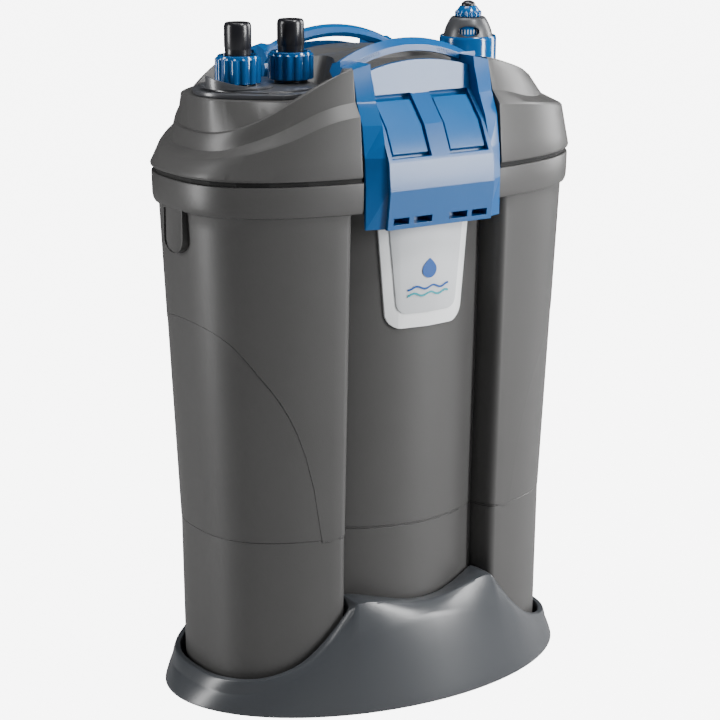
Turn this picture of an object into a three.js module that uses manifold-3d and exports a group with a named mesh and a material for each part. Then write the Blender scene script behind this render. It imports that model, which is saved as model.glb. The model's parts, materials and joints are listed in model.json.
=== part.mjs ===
// External canister filter: a tall three-lobed tank on a flared foot, a motor head with two
// carrying latches, a hose connector with shut-off lever, and a built-in heater.
// Units are millimetres. +Z is up, X runs along the long side, -Y is the front.
import * as THREE from 'three';
import { mergeVertices } from 'three/addons/utils/BufferGeometryUtils.js';
import Module from 'manifold-3d';

const wasm = await Module();
wasm.setup();

// ---- driving dimensions -------------------------------------------------------------------
const GAP = 0.3;                 // clearance kept between neighbouring pieces
const HULL_A = 167.2;            // half length of the collar outline
const HULL_B = 93.5;             // half depth of the collar outline
const HULL_N = 2.66;             // superellipse exponent of the collar outline
const WALL = 4;                  // tank wall
const GROOVE_X = 60;             // grooves between the lobes
const LOBE_EDGE_X = 71;          // where an end lobe turns into a groove
const LOBE_R = 100;              // radius of the middle lobe
const FOOT_FLOOR_Z = 7;          // floor of the foot's tub
const TANK_FOOT_Z = FOOT_FLOOR_Z + GAP;
const COLLAR_Z = 377.5;          // underside of the tank's collar
const RIM_Z = 400;               // top of the tank
const HEAD_Z = 403.5;            // underside of the head cover
const LAND_Z = 457;              // floor of the connector recess
const FOOT_A = 168;              // half length of the foot on the ground
const FOOT_B = 113;              // half depth of the foot on the ground
const FOOT_Z = 1;                // the skirt clears the ground by this much
const HOSE_X = [-109.3, -64.8];  // the two hose connections
const HEATER_X = 94.5;           // the heater
const LATCH_HALF = 59;           // half width of a latch
const CHEEK_IN = 45;             // inner face of a latch's cheeks
const LATCH_PIVOT = [-56, 466];  // y and z of the front latch's pin
const POCKET_HALF = 61;          // half width of the head's latch pocket

// ---- materials ----------------------------------------------------------------------------
const finish = (color, roughness, metalness = 0) =>
  new THREE.MeshStandardMaterial({ color, roughness, metalness });
const BODY_GREY = finish(0x4b4a49, 0.55);
const FOOT_GREY = finish(0x54565a, 0.4);
const LATCH_BLUE = finish(0x1a6ea8, 0.4);
const GLOSS_BLUE = finish(0x0c4f8d, 0.2);
const GLOSS_BLACK = finish(0x191b1e, 0.18);
const DARK_GREY = finish(0x3a3d42, 0.3);
const SEAL_BLACK = finish(0x101010, 0.7);
const LABEL_WHITE = finish(0xe9edef, 0.3);
const LABEL_GREY = finish(0xb9bdc1, 0.4);
const BASKET_GREY = finish(0x6d7276, 0.5);
const FOAM_BLUE = finish(0x2f6f9f, 0.95);
const FOAM_ORANGE = finish(0xc8702e, 0.95);
const STEEL = finish(0xb8bcc0, 0.25, 1);
const COPPER = finish(0xb06a3a, 0.35, 1);
const CERAMIC = finish(0xe6e2da, 0.35);

// ---- geometry helpers ---------------------------------------------------------------------
const lerp = THREE.MathUtils.lerp;

// Piecewise linear curve through [x, y] pairs, flat outside them.
function curve(points, x) {
  if (x <= points[0][0]) return points[0][1];
  for (let i = 1; i < points.length; i += 1) {
    const [x0, y0] = points[i - 1];
    const [x1, y1] = points[i];
    if (x <= x1) return lerp(y0, y1, (x - x0) / (x1 - x0));
  }
  return points[points.length - 1][1];
}

// A smooth curve through the same kind of table.
function smoothCurve(points, x) {
  if (x <= points[0][0]) return points[0][1];
  const last = points.length - 1;
  if (x >= points[last][0]) return points[last][1];
  const i = points.findIndex(([px]) => px >= x);
  const [x0, y0] = points[i - 1];
  const [x1, y1] = points[i];
  const slope = (a, b) => (b[1] - a[1]) / (b[0] - a[0]);
  const here = slope(points[i - 1], points[i]);
  const before = i > 1 ? (slope(points[i - 2], points[i - 1]) + here) / 2 : here;
  const after = i < last ? (slope(points[i], points[i + 1]) + here) / 2 : here;
  const w = x1 - x0;
  const t = (x - x0) / w;
  const t2 = t * t;
  const t3 = t2 * t;
  return (2 * t3 - 3 * t2 + 1) * y0 + (t3 - 2 * t2 + t) * w * before
    + (3 * t2 - 2 * t3) * y1 + (t3 - t2) * w * after;
}

// Closed solid through rings of points; the first and last ring are closed to a middle point.
function loft(rings, bottomZ = null, topZ = null) {
  const n = rings[0].length;
  const positions = [];
  rings.forEach((ring) => ring.forEach((p) => positions.push(...p)));
  const index = [];
  for (let r = 0; r + 1 < rings.length; r += 1) {
    for (let i = 0; i < n; i += 1) {
      const j = (i + 1) % n;
      const a = r * n + i;
      const b = r * n + j;
      index.push(a, b, b + n, a, b + n, a + n);
    }
  }
  const cap = (ring, start, z, up) => {
    const middle = [0, 1, 2].map((k) => ring.reduce((sum, p) => sum + p[k], 0) / n);
    const centre = positions.length / 3;
    positions.push(middle[0], middle[1], z ?? middle[2]);
    for (let i = 0; i < n; i += 1) {
      const j = (i + 1) % n;
      if (up) index.push(start + i, start + j, centre);
      else index.push(start + j, start + i, centre);
    }
  };
  cap(rings[0], 0, bottomZ, false);
  cap(rings[rings.length - 1], (rings.length - 1) * n, topZ, true);
  const geometry = new THREE.BufferGeometry();
  geometry.setAttribute('position', new THREE.Float32BufferAttribute(positions, 3));
  geometry.setIndex(index);
  return geometry;
}

const shapeOf = (points) => new THREE.Shape(points.map(([u, v]) => new THREE.Vector2(u, v)));

function extrude(points, depth, holes = []) {
  const shape = shapeOf(points);
  holes.forEach((hole) => shape.holes.push(shapeOf(hole)));
  return new THREE.ExtrudeGeometry(shape, { depth, bevelEnabled: false, curveSegments: 12 });
}

// Prisms: an outline in the plane across an axis, swept from one value of that axis to another.
const prismZ = (xy, z0, z1, holes) => extrude(xy, z1 - z0, holes).translate(0, 0, z0);
const prismX = (yz, x0, x1) => {
  const basis = new THREE.Matrix4().set(0, 0, 1, x0, 1, 0, 0, 0, 0, 1, 0, 0, 0, 0, 0, 1);
  return extrude(yz, x1 - x0).applyMatrix4(basis);
};
const CIRCLE_PHASE = 0.07;      // keeps facet corners off the planes of symmetry
const circle = (r, n = 24, x = 0, y = 0) =>
  Array.from({ length: n }, (_, i) => {
    const a = CIRCLE_PHASE + (i / n) * 2 * Math.PI;
    return [x + r * Math.cos(a), y + r * Math.sin(a)];
  });

const rod = (r, z0, z1, x = 0, y = 0, n = 24) => prismZ(circle(r, n, x, y), z0, z1);
const tube = (outer, inner, z0, z1, x = 0, y = 0, n = 24) =>
  prismZ(circle(outer, n, x, y), z0, z1, [circle(inner, n, x, y).reverse()]);

// Turned piece from [radius, z] pairs, counter-clockwise seen with z up and radius to the right.
function turned(profile, x = 0, y = 0, n = 24) {
  const points = profile.map(([r, z]) => new THREE.Vector2(r, z));
  const closed = profile[0][0] > 0 || profile[profile.length - 1][0] > 0;
  if (closed) points.push(points[0].clone());
  return new THREE.LatheGeometry(points, n).rotateX(Math.PI / 2).translate(x, y, 0);
}

// ---- booleans -----------------------------------------------------------------------------
function toSolid(geometry) {
  const bare = geometry.clone();
  bare.deleteAttribute('normal');
  bare.deleteAttribute('uv');
  const merged = mergeVertices(bare, 1e-4);
  const vertProperties = Float32Array.from(merged.attributes.position.array);
  const triVerts = Uint32Array.from(merged.index.array);
  const solid = new wasm.Manifold(new wasm.Mesh({ numProp: 3, vertProperties, triVerts }));
  if (solid.volume() >= 0) return solid;
  for (let i = 0; i < triVerts.length; i += 3) {
    [triVerts[i], triVerts[i + 1]] = [triVerts[i + 1], triVerts[i]];
  }
  return new wasm.Manifold(new wasm.Mesh({ numProp: 3, vertProperties, triVerts }));
}

function fromSolid(solid) {
  const mesh = solid.getMesh();
  flipSlivers(mesh.vertProperties, mesh.triVerts);
  const geometry = new THREE.BufferGeometry();
  geometry.setAttribute('position', new THREE.BufferAttribute(mesh.vertProperties, 3));
  geometry.setIndex(new THREE.BufferAttribute(mesh.triVerts, 1));
  return geometry;
}

const join = (...pieces) => pieces.map(toSolid).reduce((a, b) => a.add(b));
const cut = (solid, ...pieces) => pieces.map(toSolid).reduce((a, b) => a.subtract(b), solid);

const SLIVER = 0.004;            // facets thinner than this are merged or flipped away

// Flips the long edge of every facet that has no height, so that no facet is a bare line.
function flipSlivers(vertices, triangles) {
  const point = (i) => new THREE.Vector3(...vertices.slice(3 * i, 3 * i + 3));
  const edges = new Map();
  for (let t = 0; t < triangles.length; t += 3) {
    for (let k = 0; k < 3; k += 1) edges.set(`${triangles[t + k]}_${triangles[t + ((k + 1) % 3)]}`, t);
  }
  for (let t = 0; t < triangles.length; t += 3) {
    const corner = [0, 1, 2].map((k) => triangles[t + k]);
    const length = [0, 1, 2].map((k) => point(corner[k]).distanceTo(point(corner[(k + 1) % 3])));
    const k = length.indexOf(Math.max(...length));
    const [a, b, c] = [corner[k], corner[(k + 1) % 3], corner[(k + 2) % 3]];
    const area = new THREE.Triangle(point(a), point(b), point(c)).getArea();
    const mate = edges.get(`${b}_${a}`);
    if ((2 * area) / length[k] > SLIVER / 4 || mate === undefined) continue;
    const d = [0, 1, 2].map((i) => triangles[mate + i]).find((i) => i !== a && i !== b);
    if (edges.has(`${c}_${d}`) || edges.has(`${d}_${c}`)) continue;
    triangles.set([a, d, c], t);
    triangles.set([d, b, c], mate);
    edges.delete(`${a}_${b}`);
    edges.delete(`${b}_${a}`);
    [[a, d, t], [d, c, t], [c, a, t], [d, b, mate], [b, c, mate], [c, d, mate]]
      .forEach(([from, to, at]) => edges.set(`${from}_${to}`, at));
  }
}

const product = new THREE.Group();
function place(name, shape, material) {
  const solid = shape instanceof THREE.BufferGeometry ? toSolid(shape) : shape;
  const geometry = fromSolid(solid.simplify(SLIVER));
  geometry.computeVertexNormals();
  const mesh = new THREE.Mesh(geometry, material);
  mesh.name = name;
  product.add(mesh);
  return mesh;
}

// ---- outlines -----------------------------------------------------------------------------
// The outline is walked in quarters, so every ring has the same count and they loft together.
const MID_STEPS = [0, 0.4, 0.75];
const WALL_STEPS = [0.25, 0.6, 1];
const END_STEPS = [0.2, 0.4, 0.58, 0.74, 0.87, 0.95, 1];

// x stations of one quarter. inset moves the groove walls for an inner or outer skin.
function stations(scale, inset) {
  const from = GROOVE_X - Math.max(inset, 0);
  const to = GROOVE_X + 0.6 + 0.5 * Math.max(inset, 0);
  const edge = LOBE_EDGE_X + 0.8 * inset;
  const half = HULL_A * scale - inset;
  return {
    from,
    to,
    edge,
    half,
    xs: [
      ...MID_STEPS.map((t) => t * from),
      from,
      to,
      ...WALL_STEPS.map((t) => lerp(to, edge, t)),
      ...END_STEPS.map((t) => lerp(edge, half, Math.sin((t * Math.PI) / 2))),
    ],
  };
}

// Mirror one quarter of [x, y] into a full counter-clockwise ring.
function fullRing(quarter) {
  const first = [...quarter].reverse();
  const ring = [
    ...first,
    ...quarter.slice(1).map(([x, y]) => [-x, y]),
    ...first.slice(1).map(([x, y]) => [-x, -y]),
    ...quarter.slice(1, -1).map(([x, y]) => [x, -y]),
  ];
  return ring;
}

function insetHullY(x, scale, inset) {
  const half = HULL_A * scale - inset;
  const depth = HULL_B * scale - inset;
  const u = Math.min(Math.abs(x) / half, 1);
  return depth * (1 - u ** HULL_N) ** (1 / HULL_N);
}

// Three-lobed outline of the tank.
function lobedOutline(scale, inset = 0) {
  const { from, to, edge, xs } = stations(scale, inset);
  const front = 79 + HULL_B * (scale - 0.893) - inset;
  const arc = (x) => front - (LOBE_R - Math.sqrt(LOBE_R ** 2 - x ** 2));
  const yEdge = insetHullY(edge, scale, inset);
  const quarter = xs.map((x) => {
    if (x <= from) return [x, arc(x)];
    if (x <= to) return [x, arc(from)];
    if (x < edge) {
      const t = (x - to) / (edge - to);
      return [x, lerp(arc(from), yEdge, 1 - (1 - t) ** 2.6)];
    }
    return [x, insetHullY(x, scale, inset)];
  });
  return fullRing(quarter);
}

// Plain superellipse with the same stations.
function hullOutline(scale, inset = 0) {
  const { xs } = stations(scale, inset);
  return fullRing(xs.map((x) => [x, insetHullY(x, scale, inset)]));
}

// Ellipse on the ground with the same stations.
function footOutline(grow = 0) {
  const a = FOOT_A + grow;
  const b = FOOT_B + grow;
  const { xs, half } = stations(0.883, 0);
  return fullRing(xs.map((x) => {
    const u = x / half;
    return [a * u, b * Math.sqrt(Math.max(1 - u * u, 0))];
  }));
}

const atZ = (outline, z) => outline.map(([x, y]) => [x, y, typeof z === 'function' ? z(x, y) : z]);
const boxSolid = (x0, x1, y0, y1, z0, z1) =>
  new THREE.BoxGeometry(x1 - x0, y1 - y0, z1 - z0)
    .translate((x0 + x1) / 2, (y0 + y1) / 2, (z0 + z1) / 2);

// Scale of the tank's outline by height.
const TANK_SCALE = [[TANK_FOOT_Z, 0.882], [133, 0.893], [368, 0.966], [COLLAR_Z, 0.969]];
const tankScale = (z) => curve(TANK_SCALE, z);

// ---- tank ---------------------------------------------------------------------------------
function tank() {
  const floor = TANK_FOOT_Z;
  const rings = [
    atZ(lobedOutline(tankScale(floor), 5), floor),
    atZ(lobedOutline(tankScale(floor), 0), floor + 5),
    atZ(lobedOutline(tankScale(133)), 133),
    atZ(lobedOutline(tankScale(368)), 368),
    atZ(lobedOutline(tankScale(COLLAR_Z)), COLLAR_Z),
    atZ(hullOutline(0.985), COLLAR_Z + 0.2),
    atZ(hullOutline(1), COLLAR_Z + 6),
    atZ(hullOutline(1), RIM_Z),
    atZ(lobedOutline(0.969, WALL), RIM_Z),
    atZ(lobedOutline(tankScale(133), WALL), 133),
    atZ(lobedOutline(tankScale(floor), WALL + 1), floor + WALL),
  ];
  const notch = (side) => boxSolid(
    -LATCH_HALF - 1, LATCH_HALF + 1,
    Math.min(side * 89, side * 130), Math.max(side * 89, side * 130), COLLAR_Z - 1, RIM_Z + 5);
  const tab = (side) => {
    const outline = [[-15, 380]];
    for (let i = 0; i <= 8; i += 1) {
      const a = Math.PI + (i / 8) * Math.PI;
      outline.push([15 * Math.cos(a), 357 + 12 * Math.sin(a)]);
    }
    outline.push([15, 380]);
    return side < 0 ? prismX(outline, -165.2, -159) : prismX(outline, 159, 165.2);
  };
  return cut(join(loft(rings), tab(-1), tab(1)), notch(-1), notch(1));
}

// ---- foot ---------------------------------------------------------------------------------
const FOOT_RIM = [[0, 74], [15, 75], [30, 78], [45, 81], [58, 82], [64, 80], [71, 72], [79, 62],
  [90, 50], [104, 38], [118, 31], [130, 27], [142, 25], [156, 23]];
const FOOT_RIDGE = [[0, 66], [30, 63.5], [50, 60.5], [73, 52], [90, 43], [104, 34], [118, 25],
  [130, 19], [146, 15], [157, 14.5]];
const RIDGE_SHARE = 0.62;        // the ridge stands this far in from the ground's outline
const footRimZ = (x) => smoothCurve(FOOT_RIM, Math.abs(x));
const ridgeZ = (x) => smoothCurve(FOOT_RIDGE, Math.abs(x));

// One surface: under the tub, up inside the hollow skirt, round its edge on the ground, up the
// outside to the ridge, over the rim and down into the tub that the tank stands in.
function foot() {
  const wallIn = lobedOutline(tankScale(40), -3);
  const wallOut = lobedOutline(tankScale(40), -6);
  const shoulder = hullOutline(tankScale(40), -7);
  const ground = footOutline();
  const edge = footOutline(-3);
  const ridge = ground.map(([x, y], i) =>
    [lerp(x, shoulder[i][0], RIDGE_SHARE), lerp(y, shoulder[i][1], RIDGE_SHARE)]);
  const blend = (from, to, inward, z) => from.map(([x, y], i) => {
    const px = lerp(x, to[i][0], inward);
    return [px, lerp(y, to[i][1], inward), z(px, wallIn[i][0])];
  });
  return loft([
    atZ(wallOut, FOOT_FLOOR_Z - 3),
    atZ(wallOut, (x) => footRimZ(x) - 9),
    blend(shoulder, ridge, 0, (x, wallX) => footRimZ(wallX) - 9),
    blend(ridge, shoulder, 0.5, (x) => ridgeZ(x) - 9),
    atZ(edge, FOOT_Z),
    atZ(ground, FOOT_Z),
    blend(ground, ridge, 0.42, (x) => lerp(FOOT_Z, ridgeZ(x), 0.5)),
    blend(ridge, ridge, 0, (x) => ridgeZ(x)),
    blend(ridge, shoulder, 0.6, (x, wallX) => lerp(ridgeZ(x), footRimZ(wallX), 0.72)),
    blend(shoulder, shoulder, 0, (x, wallX) => footRimZ(wallX)),
    atZ(wallIn, (x) => footRimZ(x)),
    atZ(wallIn, FOOT_FLOOR_Z),
  ]);
}

// ---- head cover ---------------------------------------------------------------------------
const CREASE_C = [[-167, 415], [-158, 417], [-146, 421], [-132, 426], [-120, 430], [-107, 435],
  [-92, 441.5], [-78, 446], [-64, 448], [60, 448], [110, 443], [154, 436], [167, 434]];
const CREASE_B = [[-160, 419], [-146, 423], [-136, 428], [-114, 438], [-87, 451], [-65, 456],
  [57, 457], [80, 453], [104, 447], [135, 444], [150, 443]];
const CREASE_A = [[-150, 432], [-141, 436], [-123, 446], [-103, 459], [-78, 473], [-66, 478],
  [62, 478], [87, 471.5], [104, 466], [117, 461], [130, 457.5]];
const creaseScale = (left, right) => (x) => lerp(left, right, THREE.MathUtils.smoothstep(x, -150, 130));
const scaleB = creaseScale(0.91, 0.865);
const scaleA = creaseScale(0.89, 0.8);
const noseHalf = (x) => Math.sqrt(Math.max(79 * (x + 151), 0));

// A ring whose scale changes along x, with its height from a crease table.
function creaseRing(scaleAt, table, lower = 0, limit = () => Infinity) {
  return hullOutline(1).map(([x, y]) => {
    const s = scaleAt(x);
    const px = x * s;
    const py = Math.sign(y) * Math.min(Math.abs(y) * s, limit(px));
    return [px, py, smoothCurve(table, px) - lower];
  });
}

function headOuter() {
  const rim = creaseRing((x) => scaleA(x) - 0.004, CREASE_A, 0, noseHalf)
    .map(([x, y, z]) => [x, y, Math.max(z, LAND_Z)]);
  const crown = rim.map(([x, y]) => [x * 0.72, y * 0.72, 481]);
  return loft([
    atZ(hullOutline(1.003), HEAD_Z),
    atZ(hullOutline(1.005), HEAD_Z + 2),
    creaseRing(() => 0.968, CREASE_C, 1.5),
    creaseRing(() => 0.958, CREASE_C),
    creaseRing(scaleB, CREASE_B),
    creaseRing(scaleA, CREASE_A),
    rim,
    crown,
  ], null, 483);
}

// The recess that the hose connector sits in, open towards -X.
function recess(grow = 0) {
  const low = [[-38, 0], [-40, 12], [-46, 25], [-54, 39], [-61, 50], [-66, 58], [-73, 63], [-82, 64.5]];
  const high = [[-33, 0], [-36, 14], [-42, 28], [-50, 43], [-57, 55], [-62, 66], [-66, 74], [-70, 77.5]];
  const side = (k) => low.map(([x, y], i) => {
    const [hx, hy] = high[i];
    return [lerp(x, hx, k) + grow, lerp(y, hy, k) + grow * Math.min(1, y / 20)];
  });
  const ringAt = (z) => {
    const half = side((z - LAND_Z) / 21);
    const far = half[half.length - 1][1];
    const near = [...half].reverse().slice(0, -1).map(([x, y]) => [x, -y]);
    return [[-230, -far], ...near, ...half, [-230, far]].map(([x, y]) => [x, y, z]);
  };
  return loft([ringAt(LAND_Z - grow), ringAt(500)]);
}

// Pocket for a latch, as a section in y and z.
const POCKET = [[-130, 398], [-89, 398], [-89, 418], [-62.6, 450.5], [-52, 451.5], [-43, 458],
  [-40.6, 467], [-36, 477], [-33, 479], [-33, 520], [-130, 520]];
const POCKET_GROWN = [[-130, 398], [-85, 398], [-85, 419.5], [-60.5, 447], [-50, 447.5],
  [-39, 456], [-36.5, 464], [-32, 474.5], [-29, 476], [-29, 520], [-130, 520]];
const mirrorY = (points) => points.map(([y, z]) => [-y, z]).reverse();

function headCavity() {
  const ceiling = creaseRing((x) => scaleA(x) - 0.045, CREASE_A, 6)
    .map(([x, y, z]) => [x, y, x < -60 ? Math.min(z, 452) : z]);
  return toSolid(loft([
    atZ(hullOutline(0.895), HEAD_Z - 1),
    creaseRing(() => 0.895, CREASE_C, 6),
    creaseRing((x) => scaleB(x) - 0.045, CREASE_B, 3.5),
    ceiling,
  ], null, 470))
    .subtract(toSolid(recess(3.2)))
    .subtract(toSolid(prismX(POCKET_GROWN, -69, 69)))
    .subtract(toSolid(prismX(mirrorY(POCKET_GROWN), -69, 69)));
}

const PLUG_HALF = 15;
const slotOutline = (r, x0, x1, n = 10) => {
  const points = [];
  for (let i = 0; i <= n; i += 1) {
    const a = -Math.PI / 2 + (i / n) * Math.PI;
    points.push([x1 + r * Math.cos(a), r * Math.sin(a)]);
  }
  for (let i = 0; i <= n; i += 1) {
    const a = Math.PI / 2 + (i / n) * Math.PI;
    points.push([x0 + r * Math.cos(a), r * Math.sin(a)]);
  }
  return points;
};

const pinAlongX = (r, half, side, n = 16) =>
  prismX(circle(r, n, side * LATCH_PIVOT[0], LATCH_PIVOT[1]), -half, half);

function headCover() {
  const latchPocket = prismX(POCKET, -POCKET_HALF, POCKET_HALF);
  const backPocket = prismX(mirrorY(POCKET), -POCKET_HALF, POCKET_HALF);
  const gland = rod(7.3, 60, 100, 0, 0, 20).rotateX(-Math.PI / 2).translate(112, 0, 424);
  return cut(
    toSolid(headOuter()).subtract(headCavity()),
    recess(), latchPocket, backPocket,
    rod(22.2, 430, 500, HEATER_X, 0),
    prismZ(slotOutline(PLUG_HALF + GAP, ...HOSE_X), 410, 470),
    pinAlongX(2.7, 66, 1), pinAlongX(2.7, 66, -1), gland);
}

// ---- latch --------------------------------------------------------------------------------
const FACE = [[-100.2, 365.5], [-104, 394], [-102, 414], [-90.5, 438], [-72.5, 458], [-68.6, 481.6]];
const FACE_INWARD = [[1, 0], [1, 0], [0.94, -0.33], [0.8, -0.6], [0.85, -0.5], [1, 0]];
const faceAt = (depth) => FACE.map(([y, z], i) =>
  [y + FACE_INWARD[i][0] * depth, z + FACE_INWARD[i][1] * depth]);
const slab = (from, to, first = 0, last = FACE.length) =>
  [...faceAt(from).slice(first, last), ...faceAt(to).slice(first, last).reverse()];

// Cheek sections by height: z, front edge outside, front edge inside, back edge.
const CHEEK = [[366, -92, -97, -90], [394, -92.5, -101, -90], [411, -91.5, -100, -90],
  [417.5, -90.7, -98.6, -90], [440, -87.4, -92, -72.5], [451.5, -82.2, -86, -63],
  [455, -81, -84.5, -53.5], [456, -80, -83.6, -51], [466, -78, -80.5, -46.5],
  [474, -76, -77.5, -49], [478.6, -75, -76, -56.5]];
function cheek(side) {
  const rings = CHEEK.map(([z, outer, inner, back], i) => {
    const inside = side * CHEEK_IN;
    const outside = side * LATCH_HALF;
    const rise = i === CHEEK.length - 1 ? 3.2 : 0;
    const ring = [[outside, outer, z], [inside, inner, z + rise], [inside, back, z + rise],
      [outside, back, z]];
    return side < 0 ? ring : ring.reverse();
  });
  return loft(rings);
}

// Carrying arch: one section swept along a shallow circle between the cheeks.
const ARCH = [[-58.5, 486.6], [-58.5, 491.2], [-52, 495.8], [-46, 494], [-44, 490], [-47.5, 486.5]];
const ARCH_RADIUS = 117.2;
const sagAt = (x, radius) => radius - Math.sqrt(radius ** 2 - x * x);
function arch() {
  const steps = 20;
  const rings = [];
  for (let i = 0; i <= steps; i += 1) {
    const x = lerp(-LATCH_HALF, LATCH_HALF, i / steps);
    rings.push([...ARCH].reverse().map(([y, z]) => [x, y, z - sagAt(x, ARCH_RADIUS)]));
  }
  return loft(rings);
}

const HOOK = [[-99, 366], [-99, 375.2], [-88.4, 375.6], [-87.5, 374.8], [-87.5, 368], [-89.5, 366]];
const HOOK_SLOTS = [[7.5, 23.5], [27.5, 41]];      // shallow pockets along the hook, each side

const CREST_RADIUS = 157;         // curve of the face plate's top edge
function latchFrame() {
  const plate = toSolid(prismX(slab(0, 3), -CHEEK_IN - 0.5, CHEEK_IN + 0.5));
  const windows = [-1, 1].map((s) => {
    const x = [s * 8, s * 42].sort((a, b) => a - b);
    return prismX([[-120, 416.5], [-94, 416.5], [-60, 452], [-60, 458.5], [-120, 458.5]], ...x);
  });
  const crest = [];
  for (let x = -46; x <= 46; x += 11.5) crest.push([x, 481.6 - sagAt(x, CREST_RADIUS)]);
  const overCrest = frontPrism([...crest, [46, 500], [-46, 500]]);
  const slots = HOOK_SLOTS.flatMap(([a, b]) => [
    boxSolid(a, b, -110, -91, 368.8, 373.8), boxSolid(-b, -a, -110, -91, 368.8, 373.8)]);
  // Two short legs of the arch reach the cheeks' tops.
  const legs = [-1, 1].map((s) => {
    const x = [s * CHEEK_IN, s * LATCH_HALF].sort((a, b) => a - b);
    return prismX([[-58.5, 470], [-58.5, 483], [-47, 480], [-47.5, 470]], ...x);
  });
  const bore = pinAlongX(2.9, 80, 1);
  const body = [arch(), cheek(-1), cheek(1), ...legs, prismX(HOOK, -43, 43)]
    .map(toSolid).reduce((a, b) => a.add(b), cut(plate, ...windows, overCrest));
  return cut(body, bore, ...slots);
}

// Backing sheet behind both windows, with a raised pad that stands in each.
const BACKING = [[-96, 411], [-85.7, 434.4], [-67.4, 455], [-63.9, 464],
  [-62, 463.4], [-65.7, 454], [-84.1, 433.2], [-94, 410.4]];
const PAD = [[-98.2, 419.6], [-89.7, 437.4], [-74.5, 454.3], [-70, 450.3], [-84.9, 433.8],
  [-92.8, 417]];
const latchPanel = () => join(prismX(BACKING, -CHEEK_IN + GAP, CHEEK_IN - GAP),
  prismX(PAD, -40, -10), prismX(PAD, 10, 40));

const turnedBack = (solid) => solid.rotate([0, 0, 180]);

// ---- connector ----------------------------------------------------------------------------
const noseOutline = (rate, tip, half, end) => {
  const points = [];
  const steps = 10;
  for (let i = 0; i <= steps; i += 1) {
    const y = lerp(-half, half, i / steps);
    points.push([tip + (y * y) / rate, y]);
  }
  const endSteps = 8;
  for (let i = 0; i <= endSteps; i += 1) {
    const a = lerp(Math.PI / 2, -Math.PI / 2, i / endSteps);
    points.push([end - 26 + 26 * Math.cos(a), half * Math.sin(a)]);
  }
  return points.reverse();
};

const BALL_Z = 444;
const BALL_R = 9.2;
function connectorBlock() {
  const base = prismZ(noseOutline(62, -142.5, 50, -47), LAND_Z + GAP, 460.5);
  const deck = prismZ(noseOutline(62, -133, 40, -52), 460, 462);
  const plug = prismZ(slotOutline(PLUG_HALF, ...HOSE_X), 430, 458);
  const necks = HOSE_X.map((x) => rod(12.4, 455, 472, x, 0));
  const bores = HOSE_X.map((x) => rod(7.5, 420, 480, x, 0, 24));
  const chambers = HOSE_X.map((x) => new THREE.SphereGeometry(BALL_R + 0.5, 16, 10)
    .rotateX(Math.PI / 2).rotateZ(0.1).translate(x, 0, BALL_Z));
  return cut(join(base, deck, plug, ...necks), ...bores, ...chambers);
}

const valveBall = (x) => cut(
  toSolid(new THREE.SphereGeometry(BALL_R, 16, 10).rotateX(Math.PI / 2).translate(x, 0, BALL_Z)),
  rod(6.5, 420, 470, x, 0, 20));

function hoseTail(x) {
  const bore = 7.5;
  return turned([[bore, 472.4], [12.2, 472.4], [12.2, 475.2], [9.2, 475.2], [9.2, 490], [9.65, 491],
    [9.65, 506.6], [9.1, 508], [bore, 508]], x, 0, 24);
}

// Union nut with rounded flutes.
function unionNut(x) {
  const flutes = 14;
  const perFlute = 3;
  const outline = (grow) => Array.from({ length: flutes * perFlute }, (_, i) => {
    const a = (i / (flutes * perFlute)) * 2 * Math.PI;
    const r = 16.25 + grow - 0.75 * Math.cos(a * flutes);
    return [x + r * Math.cos(a), r * Math.sin(a)];
  });
  const rings = [[-0.8, 464.5], [0, 465.5], [-0.2, 482.5], [-1.4, 484.8]]
    .map(([grow, z]) => outline(grow).map(([px, py]) => [px, py, z]));
  return cut(toSolid(loft(rings)), rod(12.9, 460, 475.6, x, 0), rod(11.6, 475, 490, x, 0));
}

const sealRing = (x) => turned([[10, 475.6], [11.2, 475.6], [11.2, 477.4], [10, 477.4]], x, 0, 24);

// Shut-off lever: a flat sector round the first neck. Its curved thumb wall is tallest at the
// tip and runs down to nothing along the front.
const LEVER_R = 27.5;
const LEVER_Z = 462.3;
const WALL_FROM = 168;           // degrees, where the thumb wall is tallest
const WALL_TO = 292;
function thumbWall(x) {
  const steps = 16;
  const rings = [];
  for (let i = 0; i <= steps; i += 1) {
    const share = i / steps;
    const a = THREE.MathUtils.degToRad(lerp(WALL_FROM, WALL_TO, share));
    const top = LEVER_Z + 2 + 9 * (1 - share) ** 1.25;
    const section = [[LEVER_R - 3.2, LEVER_Z], [LEVER_R - 2.2, top - 0.2], [LEVER_R - 0.5, top],
      [LEVER_R - 0.1, LEVER_Z]];
    rings.push(section.map(([r, z]) => [x + r * Math.cos(a), r * Math.sin(a), z]));
  }
  return loft(rings);
}

function shutoffLever() {
  const [x] = HOSE_X;
  const sector = tube(LEVER_R, 12.9, LEVER_Z, LEVER_Z + 1.6, x, 0, 48);
  const away = prismZ([[x + 20, -60], [x + 13.5, 0], [x - 3, 13], [-200, 12], [-200, 60], [-60, 60],
    [-60, -60]].reverse(), 460, 466);
  const ring = tube(16.5, 12.9, LEVER_Z, LEVER_Z + 1.6, x, 0, 48);
  const half = cut(toSolid(sector), away);
  return half.add(toSolid(ring)).add(toSolid(thumbWall(x)));
}

// ---- heater -------------------------------------------------------------------------------
const heaterCollar = () => turned([[17.2, 442], [21.85, 442], [21.85, 486], [21.2, 487], [19.8, 487],
  [19.4, 484], [17.2, 484]], HEATER_X, 0, 28);

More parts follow.
